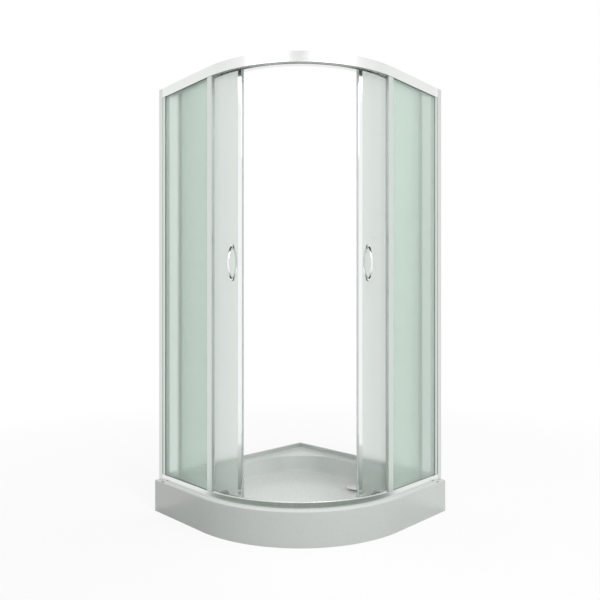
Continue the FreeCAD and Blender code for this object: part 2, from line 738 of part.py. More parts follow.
cover_foot = flange_head + s.CoverGap
cover_head = cover_foot + s.CoverThick
cover_edge = cover_head - s.CoverDome
disc = turned("CoverDisc", [
    (0, cover_foot), (s.CoverRadius, cover_foot), (s.CoverRadius, cover_edge),
    (s.CoverShoulder, cover_head - s.CoverShoulderDrop), (0, cover_head)],
    on_drain)
rib_half = s.SpigotWall / 2
spigot_reach = s.WasteBore - s.SlideGap * 2
cover_parts = [disc]
for reach, foot in ((spigot_reach, cover_foot - s.SpigotLength), (s.CoverLegReach, flange_head)):
    height = (foot, cover_foot)
    cover_parts.append(box("CoverRib", (-reach, reach), (-rib_half, rib_half), height, on_drain))
    cover_parts.append(box("CoverRib", (-rib_half, rib_half), (-reach, reach), height, on_drain))
keep(joined("waste_cover", cover_parts))


# Rails: one curved section run on into two straight ends
def rail(label, section):
    body = new_body(label, on_curve_axis)
    arc = revolve(body, polygon(new_sketch(body, "XZ_Plane"), section), HALF_FRONT, flip=True)
    run = pad(body, polygon(new_sketch(body, "XZ_Plane"), section), s.TrayStraight - rail_end,
              flip=True)
    plane = body.newObject("PartDesign::Plane", f"{label}Middle")
    across = next(item for item in body.Origin.OriginFeatures if item.Role == "YZ_Plane")
    plane.AttachmentSupport = [(across, "")]
    plane.MapMode = "FlatFace"
    plane.AttachmentOffset = FreeCAD.Placement(
        vector(0, 0), FreeCAD.Rotation(FreeCAD.Vector(0, 1, 0), HALF_FRONT))
    other_half = body.newObject("PartDesign::Mirrored", f"{label}OtherHalf")
    other_half.Originals = [arc, run]
    other_half.MirrorPlane = (plane, [""])
    body.Tip = other_half
    return body


top_rail = rail("TopRail", [
    (rail_outer, top_rail_foot), (rail_outer, top), (rail_inner, top),
    (rail_inner, track_top - s.TrackThick), (track_edge, track_top - s.TrackThick),
    (track_edge, track_top), (kerb_outer, track_top), (kerb_outer, top_web),
    (rib_inner, top_web), (rib_inner, top_rail_foot + s.RibShort),
    (rib_outer, top_rail_foot + s.RibShort), (rib_outer, top_web), (slot_outer, top_web),
    (slot_outer, top_rail_foot)])
kerb_head = s.TrayHeight + s.KerbHeight
bottom_rail = rail("BottomRail", [
    (rail_outer, s.TrayHeight), (rail_outer, bottom_rail_head), (slot_outer, bottom_rail_head),
    (slot_outer, rail_base), (rib_outer, rail_base), (rib_outer, bottom_rail_head - s.RibShort),
    (rib_inner, bottom_rail_head - s.RibShort), (rib_inner, rail_base), (kerb_outer, rail_base),
    (kerb_outer, kerb_head), (rail_inner, kerb_head), (rail_inner, s.TrayHeight)])

# Rail ends: an infill block and end plate, with an arm that stops the rear roller
block_outer = rib_inner - s.FillerGap
block_inner = block_outer - s.EndBlockWidth
screw_radius = (block_inner + block_outer) / 2
screw_y = s.TrayStraight - s.RailScrewFromWall
plate_reach = rail_outer - s.WallProfileDepth - s.FillerGap
arm_radii = (wheel_inner - s.TrackPlay, wheel_outer)


def rail_end_block(label, heights, arm_heights, wheel_radius):
    block_start = rail_end - s.FillerGap / 2
    arm_reach = s.TrayStraight - rear_open_y - wheel_radius - s.StopGap
    return joined(label, [
        end_block("Infill", (block_inner, block_outer), (block_start, s.PostReach), heights),
        end_block("Bridge", (arm_radii[0], block_outer),
                  (block_start, block_start + s.BridgeLength), arm_heights),
        end_block("Arm", arm_radii, (block_start, arm_reach), arm_heights),
        end_block("EndPlate", (rail_inner, plate_reach),
                  (block_start - s.EndPlateThick, block_start), arm_heights)])


def screw_place(height):
    return on_curve_axis.multiply(shifted(screw_radius, screw_y, height))


head_drop = s.RailWall
top_screw_head = [(0, 0), (s.RailScrewHead, 0), (s.RailScrewRadius, -head_drop),
                  (s.RailScrewRadius, -s.RailScrewLength), (0, -s.RailScrewLength)]
bottom_screw_head = [(0, 0), (s.RailScrewHead, 0), (s.RailScrewRadius, head_drop),
                     (s.RailScrewRadius, s.RailScrewLength), (0, s.RailScrewLength)]
right_screws = group("RightRailScrews", [
    turned("TopRailScrew", top_screw_head, screw_place(top)),
    turned("BottomRailScrew", bottom_screw_head, screw_place(s.TrayHeight))])
rail_screws = group("rail_screws", [right_screws, mirror("LeftRailScrews", right_screws)])


def countersinks(label, head):
    """Screw seats at both ends of a rail, a little wider than the screws."""
    level = top if head[2][1].number < 0 else s.TrayHeight
    wide = [(radius + s.AxleFit * (2 if radius.number else 0), height) for radius, height in
            [(as_size(radius), as_size(height)) for radius, height in head]]
    right = turned(label, wide, screw_place(level))
    return group(f"{label}Pair", [right, mirror(f"{label}Twin", right)])


top_sinks = countersinks("TopSink", top_screw_head)
bottom_sinks = countersinks("BottomSink", bottom_screw_head)
keep(cut("top_rail", top_rail, top_sinks), cut("bottom_rail", bottom_rail, bottom_sinks))
top_block = rail_end_block("TopEndBlock", (top_rail_foot, top_web),
                           (track_top + s.FillerGap, top_web - s.FillerGap), s.TopWheelRadius)
bottom_block = rail_end_block("BottomEndBlock", (rail_base, bottom_rail_head),
                              (rail_base, kerb_head + s.StopArmRise),
                              s.BottomWheelRadius)
right_blocks = group("RightEndBlocks", [top_block, bottom_block])
all_blocks = group("EndBlocks", [right_blocks, mirror("LeftEndBlocks", right_blocks)])
keep(cut("rail_end_blocks", all_blocks, group("BlockHoles", [top_sinks, bottom_sinks])))
keep(rail_screws)

# Filler strips close the empty glazing slot between the edge profiles
edge_end = s.EdgeProfileWidth + s.StopGap * 2
filler_start = turn_of(edge_end, rail_outer)
filler_radii = (rib_outer + s.FillerGap, slot_outer - s.FillerGap)


def filler(label, foot):
    return swept_section(label, [
        (filler_radii[0], foot), (filler_radii[1], foot),
        (filler_radii[1], foot + s.FillerThick), (filler_radii[0], foot + s.FillerThick)],
        filler_start - 2 * HALF_FRONT, 2 * HALF_FRONT - filler_start * 2, on_curve_axis)


keep(group("rail_fillers", [
    filler("TopFiller", top_rail_foot + s.FillerGap),
    filler("BottomFiller", bottom_rail_head - s.FillerGap - s.FillerThick)]))

# Wall profile, post, their screws and the cap that closes the wall profile
wall = s.TrayStraight
u_inner = rail_outer - s.WallProfileDepth
u_base = wall - s.WallProfileBase
u_mouth = wall - s.WallProfileWidth
wall_profile = extrusion("WallProfile", [
    (u_inner, wall), (u_inner, u_mouth), (u_inner + s.RailWall, u_mouth),
    (u_inner + s.RailWall, u_base), (slot_outer, u_base), (slot_outer, u_mouth),
    (rail_outer, u_mouth), (rail_outer, wall)], s.TrayHeight, top, on_curve_axis)
wall_hole = circle(new_sketch(wall_profile, "XZ_Plane", -u_base),
                   (u_inner + rail_outer) / 2, s.TrayHeight + s.WallHoleFirst, s.WallHoleRadius)
first_hole = pocket(wall_profile, wall_hole, s.WallProfileBase)
hole_row = wall_profile.newObject("PartDesign::LinearPattern", "WallHoleRow")
hole_row.Originals = [first_hole]
upright = next(item for item in wall_profile.Origin.OriginFeatures if item.Role == "Z_Axis")
hole_row.Direction = (upright, [""])
bind(hole_row, Length=top - s.TrayHeight - s.WallHoleFirst * 2, Occurrences=s.WallHoleCount)
wall_profile.Tip = hole_row

post_start = wall - s.PostStart
post_end = wall - s.PostReach
slot_start = post_end + s.PostSlot
post = new_body("Post", on_curve_axis)
post_sketch = polygon(new_sketch(post, "XY_Plane", bottom_rail_head), [
    (post_inner, post_start), (post_inner, post_end), (post_slot_inner, post_end),
    (post_slot_inner, slot_start), (post_slot_outer, slot_start), (post_slot_outer, post_end),
    (post_outer, post_end), (post_outer, post_start)])
polygon(post_sketch, [
    (post_inner + s.PostWall, post_start - s.PostWall),
    (post_inner + s.PostWall, slot_start + s.PostWall),
    (post_slot_outer, slot_start + s.PostWall), (post_slot_outer, post_start - s.PostWall)])
circle(post_sketch, screw_radius, screw_y, s.RailScrewPort)
post_height = top_rail_foot - bottom_rail_head
pad(post, post_sketch, post_height)


def side_screws(label, radius, start, length):
    """A row of three cylinders along the radius, one per adjusting screw."""
    made = []
    first, last = s.TrayHeight + s.SideScrewFirst, top - s.SideScrewFirst
    for height in (first, (first + last) / 2, last):
        place = on_curve_axis.multiply(shifted(start, wall - s.SideScrewFromWall, height))
        made.append(cylinder(label, radius, length,
                             place.multiply(FreeCAD.Placement(vector(0, 0), OUTWARD))))
    return made


side_holes = group("SideHoles", side_screws("SideHole", s.SideScrewRadius + s.AxleFit,
                                            u_inner, s.SideScrewLength))
keep_pair("wall_profile", cut("WallProfileDrilled", wall_profile, side_holes))
keep_pair("post", cut("PostDrilled", post, side_holes))
cap = end_block("Cap", (u_inner + s.RailWall + s.FillerGap, slot_outer - s.FillerGap),
                (s.WallProfileBase + s.FillerGap, s.WallProfileWidth - s.FillerGap),
                (top_rail_foot, top))
keep(group("profile_caps", [cap, mirror("CapTwin", cap)]))
head_start = u_inner - s.SideScrewHeadThick
right_side_screws = group("RightSideScrews", [
    joined("SideScrew", [shank, head]) for shank, head in zip(
        side_screws("Shank", s.SideScrewRadius, head_start, s.SideScrewLength),
        side_screws("Head", s.SideScrewHead, head_start, s.SideScrewHeadThick))])
keep(group("adjust_screws", [right_side_screws, mirror("LeftSideScrews", right_side_screws)]))

# Fixed pane, its gaskets and the upright edge profile with its fin seal
pane_span = (s.PaneFromWall, pane_end)
pane_radii = (pane_inner, pane_outer)
pane = end_block("Pane", pane_radii, pane_span, (pane_foot, pane_head))
grip_radii = (pane_inner - s.GripPlay, pane_outer + s.GripPlay)
pane_room = end_block("PaneRoom", grip_radii,
                      (s.PaneFromWall - s.GripPlay, pane_end), (pane_foot, pane_head))
gasket_radii = (rib_outer + s.GripPlay, slot_outer - s.GripPlay)
gasket_span = (s.PostReach + s.SlideGap, s.TrayStraight)
gasket_solid = group("GasketSolid", [
    end_block("PostGasket", (post_slot_inner + s.GripPlay, post_slot_outer - s.GripPlay),
              (s.PaneFromWall - s.GasketWall, s.PostReach), (bottom_rail_head, top_rail_foot)),
    end_block("FootGasket", gasket_radii, gasket_span,
              (rail_base, bottom_rail_head - s.FillerGap)),
    end_block("HeadGasket", gasket_radii, gasket_span,
              (top_rail_foot + s.FillerGap, top_web))])
keep_pair("fixed_glass", pane)
keep_pair("glass_gasket", cut("Gasket", gasket_solid, pane_room))

edge_foot = bottom_rail_head + s.ButtGap
edge_head = top_rail_foot - s.ButtGap
pane_middle = (pane_inner + pane_outer) / 2
edge_inner = pane_middle - s.EdgeProfileThick / 2
edge_outer = pane_middle + s.EdgeProfileThick / 2
edge_start = -s.StopGap
edge_finish = edge_start - s.EdgeProfileWidth
grip_end = -s.PaneOverrun - s.StopGap
edge_profile = new_body("EdgeProfile", on_curve_axis)
edge_sketch = polygon(new_sketch(edge_profile, "XY_Plane", edge_foot), [
    (edge_inner, edge_start), (edge_inner, edge_finish), (edge_outer, edge_finish),
    (edge_outer, edge_start), (grip_radii[1], edge_start), (grip_radii[1], grip_end),
    (grip_radii[0], grip_end), (grip_radii[0], edge_start)])
polygon(edge_sketch, [
    (edge_inner + s.PostWall, edge_finish + s.PostWall),
    (edge_outer - s.PostWall, edge_finish + s.PostWall),
    (edge_outer - s.PostWall, grip_end - s.PostWall),
    (edge_inner + s.PostWall, grip_end - s.PostWall)])
pad(edge_profile, edge_sketch, edge_head - edge_foot)
keep_pair("edge_profile", edge_profile)
fin_y = edge_finish + s.FinInset
fin_half = s.FinThick / 2
foot_half = s.FinFoot / 2
fin_base = edge_inner - s.FinRoot
keep_pair("edge_seal", extrusion("EdgeSeal", [
    (edge_inner, fin_y - foot_half), (edge_inner, fin_y + foot_half),
    (fin_base, fin_y + foot_half), (fin_base, fin_y + fin_half),
    (edge_inner - s.FinReach, fin_y + fin_half), (edge_inner - s.FinReach, fin_y - fin_half),
    (fin_base, fin_y - fin_half), (fin_base, fin_y - foot_half)],
    edge_foot, edge_head, on_curve_axis))

# Door pane, drilled for the rollers and the handles
handle_angle = s.HandleAngle - HALF_FRONT
handle_levels = (s.HandleHeight - s.HandleSpacing / 2, s.HandleHeight + s.HandleSpacing / 2)
roller_places = {
    "top_front": (front_angle, top_axle, s.TopWheelRadius),
    "top_rear": (rear_angle, top_axle, s.TopWheelRadius),
    "bottom_front": (front_angle, bottom_axle, s.BottomWheelRadius),
    "bottom_rear": (rear_angle, bottom_axle, s.BottomWheelRadius),
}
handle_hole = s.HandleStudRadius + s.SleeveWall + s.SleevePlay
curved_pane = swept_section("CurvedPane", [
    (door_inner, door_foot), (door_outer, door_foot), (door_outer, door_head),
    (door_inner, door_head)], glass_start, glass_span, door_rest)


def drill(label, radius, angle, height):
    """A cylinder right through the pane."""
    place = through_door(angle, height).multiply(shifted(0, 0, door_inner - s.GlassThick))
    return cylinder(label, radius, s.GlassThick * 3, place)


holes = [drill("RollerHole", s.GlassHole, angle, height)
         for angle, height, radius in roller_places.values()]
holes += [drill("HandleHole", handle_hole, handle_angle, level) for level in handle_levels]
keep_pair("door_glass", cut("DrilledPane", curved_pane, group("PaneHoles", holes)))

# Upright profiles of the door
lead_half = s.LeadWidth / 2
lead_inner = door_radius - s.LeadThick / 2
lead_outer = door_radius + s.LeadThick / 2
lead_grip = (door_inner - s.GripPlay, door_outer + s.GripPlay)
lead_root = lead_half - s.LeadCover - s.GripPlay
lead_place = on_door(turn_of(lead_start + lead_half, door_radius) - HALF_FRONT)
keep_pair("leading_profile", extrusion("LeadingProfile", [
    (lead_inner, s.LeadBevel - lead_half), (lead_inner + s.LeadBevel, -lead_half),
    (lead_outer - s.LeadBevel, -lead_half), (lead_outer, s.LeadBevel - lead_half),
    (lead_outer, lead_half), (lead_grip[1], lead_half),
    (lead_grip[1], lead_root), (lead_grip[0], lead_root),
    (lead_grip[0], lead_half), (lead_inner, lead_half)], lead_foot, lead_head, lead_place))
seal_inner = door_radius - s.SealThick / 2
seal_outer = door_radius + s.SealThick / 2
seal_tip = -lead_half - s.SealWidth
keep_pair("magnetic_seal", extrusion("MagneticSeal", [
    (seal_inner, seal_tip + s.LeadBevel), (seal_inner + s.LeadBevel, seal_tip),
    (seal_outer - s.LeadBevel, seal_tip), (seal_outer, seal_tip + s.LeadBevel),
    (seal_outer, -lead_half), (seal_inner, -lead_half)], lead_foot, lead_head, lead_place))
trail_half = s.TrailWidth / 2
trail_inner = door_radius - s.TrailThick / 2
trail_outer = door_radius + s.TrailThick / 2
lip_outer = trail_outer + s.LipReach
trail_place = on_door(trail_start + turn_of(trail_half, door_radius))
keep_pair("trailing_profile", extrusion("TrailingProfile", [
    (trail_inner, -trail_half), (lead_grip[0], -trail_half),
    (lead_grip[0], s.TrailCover - trail_half + s.SleevePlay),
    (lead_grip[1], s.TrailCover - trail_half + s.SleevePlay), (lead_grip[1], -trail_half),
    (trail_outer, -trail_half), (trail_outer, trail_half - s.LipThick),
    (lip_outer, trail_half - s.LipThick), (lip_outer, trail_half), (trail_inner, trail_half)],
    lead_foot, lead_head, trail_place))

# Handles: two bows screwed together through the pane
half_spacing = s.HandleSpacing / 2
bow_radius = (half_spacing * half_spacing + s.BowRise * s.BowRise) / (s.BowRise * 2)
bow_span = chord_angle(s.HandleSpacing, bow_radius)


def handle(label, face, outward):
    """A bow on two bosses; outward is 1 on the outer face and -1 on the inner one."""
    centre = face + (s.BowReach - bow_radius) * outward
    body = new_body(f"{label}Bow", on_door(handle_angle, s.HandleHeight)
                    .multiply(shifted(centre, 0)))
    near = (bow_radius - s.BowThick / 2) * outward
    far = (bow_radius + s.BowThick / 2) * outward
    width = s.BowWidth / 2
    bevel = s.BowBevel * outward
    revolve(body, polygon(new_sketch(body, "XY_Plane"), [
        (near + bevel, -width), (far - bevel, -width), (far, s.BowBevel - width),
        (far, width - s.BowBevel), (far - bevel, width), (near + bevel, width),
        (near, width - s.BowBevel), (near, s.BowBevel - width)]), bow_span, midplane=True)
    start = face if outward > 0 else face - s.BossLength
    socket_start = face if outward > 0 else face - s.BossLength + s.BossFloor
    bosses = []
    sockets = []
    for level in handle_levels:
        place = through_door(handle_angle, level)
        bosses.append(cylinder("Boss", s.BossRadius, s.BossLength,
                               place.multiply(shifted(0, 0, start))))
        sockets.append(cylinder("BossSocket", s.HandleStudRadius + s.HandleStudPlay,
                                s.BossLength - s.BossFloor,
                                place.multiply(shifted(0, 0, socket_start))))
    return cut(label, joined(f"{label}Solid", [body] + bosses), group("Sockets", sockets))


keep_pair("handle_outer", handle("OuterHandle", door_outer, 1))
keep_pair("handle_inner", handle("InnerHandle", door_inner - s.HandleStudPlay * 3, -1))
stud_reach = s.GlassThick / 2 + s.BossLength - s.BossFloor - s.HandleStudPlay * 4
handle_fixings = []
for level in handle_levels:
    middle = through_door(handle_angle, level).multiply(shifted(0, 0, door_radius))
    handle_fixings.append(cylinder("HandleStud", s.HandleStudRadius, stud_reach * 2,
                                   middle.multiply(shifted(0, 0, -stud_reach))))
    sleeve_half = s.GlassThick / 2 - s.SleevePlay
    handle_fixings.append(washer("Sleeve", s.HandleStudRadius + s.HandleStudPlay,
                                 s.HandleStudRadius + s.SleeveWall, -sleeve_half,
                                 sleeve_half * 2, middle))
keep_pair("handle_fixings", group("HandleFixings", handle_fixings))

# Rollers: a hub through the pane, its screw from outside, and the wheel on its axle
axle_foot = wheel_inner - s.WheelPlay
axle_head = wheel_outer + s.WheelPlay
spigot_head = door_outer - s.FillerGap
screw_foot = hub_inner + s.HubFloor
hub_bore = s.HubScrewRadius + s.SleevePlay
cap_edge = door_outer + s.HubCapThick / 2
cap_head = door_outer + s.HubCapThick
hubs, hub_screws = [], []
for name, (angle, height, wheel_radius) in roller_places.items():
    place = through_door(angle, height)
    hubs.append(turned("Hub", [
        (0, axle_foot - s.RivetThick), (s.RivetRadius, axle_foot - s.RivetThick),
        (s.RivetRadius, axle_foot), (s.AxleRadius, axle_foot), (s.AxleRadius, axle_head),
        (s.NeckRadius, axle_head), (s.NeckRadius, hub_inner), (s.HubRadius, hub_inner),
        (s.HubRadius, hub_face), (s.SpigotRadius, hub_face), (s.SpigotRadius, spigot_head),
        (hub_bore, spigot_head), (hub_bore, screw_foot - s.FillerGap),
        (0, screw_foot - s.FillerGap)], place))
    hub_screws.append(turned("HubScrew", [
        (0, screw_foot), (s.HubScrewRadius, screw_foot), (s.HubScrewRadius, door_outer),
        (s.HubCapRadius, door_outer), (s.HubCapRadius, cap_edge),
        (s.HubCapRadius - s.RivetThick, cap_head), (0, cap_head)], place))
    tread = wheel_radius - s.WheelRim
    keep_pair(f"wheel_{name}", turned(f"Wheel{name}", [
        (s.AxleRadius + s.AxleFit, wheel_inner), (tread, wheel_inner),
        (wheel_radius, wheel_inner + s.WheelRim), (wheel_radius, wheel_outer - s.WheelRim),
        (tread, wheel_outer), (s.AxleRadius + s.AxleFit, wheel_outer)], place))
keep_pair("roller_hubs", group("RollerHubs", hubs))
keep_pair("roller_screws", group("RollerScrews", hub_screws))

# Checks and export
doc.recompute()
for item in doc.Objects:
    if "Invalid" in item.State or "Error" in item.State:
        raise RuntimeError(f"{item.Label} did not build")
os.makedirs("parts", exist_ok=True)
for node in nodes:
    if node.Shape.isNull() or not node.Shape.isValid():
        raise RuntimeError(f"{node.Label} has no valid shape")
    node.Shape.exportStep(f"parts/{node.Label}.step")
world_pole = on_curve_axis.multVec(pole)
print(f"{len(nodes)} pieces")
print(f"right door turns {travel:.3f} degrees to close about x {world_pole.x:.3f}, "
      f"y {world_pole.y:.3f}")
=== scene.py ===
import bpy
import math
from mathutils import Matrix, Vector


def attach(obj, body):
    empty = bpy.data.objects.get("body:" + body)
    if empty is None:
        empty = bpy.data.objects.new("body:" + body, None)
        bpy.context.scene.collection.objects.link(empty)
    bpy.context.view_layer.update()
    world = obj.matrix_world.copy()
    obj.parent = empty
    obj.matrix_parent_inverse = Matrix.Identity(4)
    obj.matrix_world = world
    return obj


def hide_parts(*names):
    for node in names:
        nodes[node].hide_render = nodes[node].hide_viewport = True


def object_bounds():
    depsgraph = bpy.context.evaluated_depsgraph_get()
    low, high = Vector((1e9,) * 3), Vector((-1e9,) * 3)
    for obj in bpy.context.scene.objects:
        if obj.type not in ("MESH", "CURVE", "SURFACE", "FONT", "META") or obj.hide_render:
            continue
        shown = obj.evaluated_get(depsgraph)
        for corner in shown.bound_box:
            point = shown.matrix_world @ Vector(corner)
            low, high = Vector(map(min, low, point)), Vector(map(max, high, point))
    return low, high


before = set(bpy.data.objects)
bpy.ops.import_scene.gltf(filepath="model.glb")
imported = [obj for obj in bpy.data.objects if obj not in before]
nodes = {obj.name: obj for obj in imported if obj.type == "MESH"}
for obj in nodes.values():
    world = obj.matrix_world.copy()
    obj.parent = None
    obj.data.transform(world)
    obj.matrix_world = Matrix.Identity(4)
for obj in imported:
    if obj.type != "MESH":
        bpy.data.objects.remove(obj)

cadBox = [list(corner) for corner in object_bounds()]
sides = ("right", "left")
scene = bpy.context.scene
print("frame loaded:", len(nodes), "pieces")


# A wired socket that can be used in sums
class Wire:
    def __init__(self, graph, socket):
        self.graph = graph
        self.socket = socket

    def sum(self, operation, first, second):
        return self.graph.node("ShaderNodeMath", {"operation": operation}, {0: first, 1: second})

    def __add__(self, other):
        return self.sum("ADD", self, other)

    def __sub__(self, other):
        return self.sum("SUBTRACT", self, other)

    def __rsub__(self, other):
        return self.sum("SUBTRACT", other, self)

    def __mul__(self, other):
        return self.sum("MULTIPLY", self, other)

    def __truediv__(self, other):
        return self.sum("DIVIDE", self, other)

    def __rtruediv__(self, other):
        return self.sum("DIVIDE", other, self)

    __radd__ = __add__
    __rmul__ = __mul__


# Any node tree: one way to add a node, for materials, the world and Geometry Nodes alike
class Graph:
    def __init__(self, tree):
        self.tree = tree
        self.tree.nodes.clear()

    def socketOf(self, sockets, key):
        if isinstance(key, int):
            return sockets[key]
        return next(item for item in sockets if item.name == key and item.enabled)

    def node(self, kind, settings, inputs, out=0):
        made = self.tree.nodes.new(kind)
        for key, value in settings.items():
            if key == "stops":
                self.setStops(made.color_ramp, value)
            else:
                setattr(made, key, value)
        for key, value in inputs.items():
            socket = self.socketOf(made.inputs, key)
            for item in value if isinstance(value, list) else [value]:
                if isinstance(item, Wire):
                    self.tree.links.new(item.socket, socket)
                else:
                    socket.default_value = item
        return Wire(self, self.socketOf(made.outputs, out)) if made.outputs else None

    def setStops(self, ramp, stops):
        while len(ramp.elements) < len(stops):
            ramp.elements.new(1.0)
        for element, (place, tone) in zip(ramp.elements, stops):
            element.position = place
            element.color = (tone, tone, tone, 1.0)

    def anyRay(self, *rays):
        # 1 for any of the named rays
        total = self.node("ShaderNodeLightPath", {}, {}, rays[0])
        for ray in rays[1:]:
            total = self.node("ShaderNodeMath", {"operation": "MAXIMUM"},
                              {0: total, 1: self.node("ShaderNodeLightPath", {}, {}, ray)})
        return total


# A finish: patterns on Object coordinates and one main shader
class Finish(Graph):
    def __init__(self, name):
        self.material = bpy.data.materials.new(name)
        self.material.use_nodes = True
        super().__init__(self.material.node_tree)

    def place(self, stretch=(1, 1, 1)):
        spot = self.node("ShaderNodeTexCoord", {}, {}, "Object")
        return self.node("ShaderNodeMapping", {}, {"Vector": spot, "Scale": stretch})

    def along(self, axis):
        return self.node("ShaderNodeSeparateXYZ", {}, {"Vector": self.place()}, axis)

    def fromMiddle(self, reach):
        # 0 on the upright axis of the object and 1 at the given reach
        return self.node("ShaderNodeVectorMath", {"operation": "LENGTH"},
                         {0: self.place((1 / reach, 1 / reach, 0))}, "Value")

    def noise(self, scale, stretch=(1, 1, 1), detail=3.0, rough=0.55):
        return self.node("ShaderNodeTexNoise", {}, {"Vector": self.place(stretch), "Scale": scale,
                         "Detail": detail, "Roughness": rough}, "Fac")

    def cells(self, scale, what, stretch=(1, 1, 1)):
        return self.node("ShaderNodeTexVoronoi", {}, {"Vector": self.place(stretch),
                         "Scale": scale}, what)

    def ramp(self, factor, stops):
        return self.node("ShaderNodeValToRGB", {"stops": stops}, {"Fac": factor}, "Color")

    def blend(self, factor, first, second):
        return self.node("ShaderNodeMix", {"data_type": "RGBA"},
                         {"Factor": factor, "A": (*first, 1.0), "B": (*second, 1.0)}, "Result")

    def bump(self, height, strength, depth):
        return self.node("ShaderNodeBump", {}, {"Height": height, "Strength": strength,
                                                "Distance": depth}, "Normal")

    def glow(self, colour):
        return self.node("ShaderNodeEmission", {}, {"Color": colour, "Strength": 1.0}, "Emission")

    def show(self, shader):
        self.node("ShaderNodeOutputMaterial", {}, {"Surface": shader})
        return self.material

    def done(self, inputs):
        return self.show(self.node("ShaderNodeBsdfPrincipled", {}, inputs, "BSDF"))


# Metals
aluminiumLooks = {
    "railAluminium": {"light": (0.90, 0.91, 0.90), "dark": (0.82, 0.83, 0.82), "roughness": 0.16},
    "uprightAluminium": {"light": (0.74, 0.775, 0.74), "dark": (0.66, 0.70, 0.665),
                         "roughness": 0.26},
    # a darker copy of the aluminium, which paints the shade the trailing profile would reflect in
    # the gap behind the fixed glass
    "greyAluminium": {"light": (0.50, 0.54, 0.50), "dark": (0.42, 0.46, 0.425),
                      "roughness": 0.34},
}
dieLines = {"scale": 900, "detail": 2.0, "share": 0.7, "cloudScale": 7.0, "cloudShare": 0.3,
            "spread": 0.08, "relief": 0.25, "depth": 0.00003}


def drawnAluminium(name, stretch):
    # die lines run along the profile, so the pattern is drawn out that way
    look = aluminiumLooks[name]
    finish = Finish(name)
    lines = finish.noise(dieLines["scale"], stretch, dieLines["detail"])
    cloud = finish.noise(dieLines["cloudScale"])
    share = lines * dieLines["share"] + cloud * dieLines["cloudShare"]
    return finish.done({
        "Base Color": finish.blend(share, look["dark"], look["light"]),
        "Metallic": 1.0, "Roughness": (lines + cloud) * dieLines["spread"] + look["roughness"],
        "Normal": finish.bump(lines, dieLines["relief"], dieLines["depth"])})


chromeLooks = {
    "polishedChrome": {"light": (0.93, 0.935, 0.94), "dark": (0.88, 0.89, 0.90),
                       "roughness": 0.03, "smudge": 0.07},
    "satinChrome": {"light": (0.90, 0.905, 0.90), "dark": (0.82, 0.83, 0.825),
                    "roughness": 0.34, "smudge": 0.18},
    "brushedCover": {"light": (0.72, 0.735, 0.72), "dark": (0.64, 0.655, 0.645),
                     "roughness": 0.28, "smudge": 0.18},
}
plateFilm = {"smudgeScale": 38.0, "smudgeDetail": 4.0, "cloudScale": 11.0, "relief": 0.06,
             "depth": 0.0002}


def chromePlate(name):
    look = chromeLooks[name]
    finish = Finish(name)
    smudge = finish.noise(plateFilm["smudgeScale"], detail=plateFilm["smudgeDetail"])
    cloud = finish.noise(plateFilm["cloudScale"])
    return finish.done({
        "Base Color": finish.blend(cloud, look["dark"], look["light"]),
        "Metallic": 1.0, "Roughness": smudge * smudge * look["smudge"] + look["roughness"],
        "Normal": finish.bump(smudge, plateFilm["relief"], plateFilm["depth"])})


zincLook = {"light": (0.66, 0.68, 0.70), "dark": (0.46, 0.48, 0.51), "roughness": 0.34,
            "spread": 0.25, "flakes": 260, "stainScale": 32.0, "stainDetail": 5.0,
            "relief": 0.12, "depth": 0.0002}


def zincSteel(name, look=zincLook):
    finish = Finish(name)
    flakes = finish.cells(look["flakes"], "Color")
    stain = finish.noise(look["stainScale"], detail=look["stainDetail"])
    return finish.done({
        "Base Color": finish.blend(stain, look["light"], look["dark"]),
        "Metallic": 1.0, "Roughness": stain * look["spread"] + look["roughness"],
        "Normal": finish.bump(flakes, look["relief"], look["depth"])})


# Tray, base board, plastics and rubber
acrylicLook = {"light": (0.655, 0.685, 0.665), "dark": (0.615, 0.645, 0.625), "roughness": 0.22,
               "spread": 0.14, "coat": 0.30, "coatRoughness": 0.12, "cloudScale": 5.0,
               "cloudDetail": 4.0, "wearScale": 140.0, "wearDetail": 5.0, "rippleScale": 70.0,
               "ripple": 0.08, "depth": 0.0004}


def glossyAcrylic(name, look=acrylicLook):
    finish = Finish(name)
    cloud = finish.noise(look["cloudScale"], detail=look["cloudDetail"])
    wear = finish.noise(look["wearScale"], detail=look["wearDetail"])
    ripple = finish.noise(look["rippleScale"])
    return finish.done({
        "Base Color": finish.blend(cloud, look["dark"], look["light"]),
        "Roughness": wear * look["spread"] + look["roughness"], "Coat Weight": look["coat"],
        "Coat Roughness": look["coatRoughness"],
        "Normal": finish.bump(ripple, look["ripple"], look["depth"])})


boardLook = {"light": (0.56, 0.43, 0.27), "dark": (0.27, 0.19, 0.11), "roughness": 0.68,
             "spread": 0.2, "chips": 210, "chipStretch": (1, 1.7, 4), "chipShare": 0.8,
             "grainScale": 520.0, "grainDetail": 4.0, "grainShare": 0.4, "relief": 0.5,
             "depth": 0.0008}


def chipBoard(name, look=boardLook):
    finish = Finish(name)
    chips = finish.cells(look["chips"], "Distance", look["chipStretch"])
    grain = finish.noise(look["grainScale"], detail=look["grainDetail"])
    share = chips * look["chipShare"] + grain * look["grainShare"]
    return finish.done({
        "Base Color": finish.blend(share, look["light"], look["dark"]),
        "Roughness": grain * look["spread"] + look["roughness"],
        "Normal": finish.bump(chips + grain, look["relief"], look["depth"])})


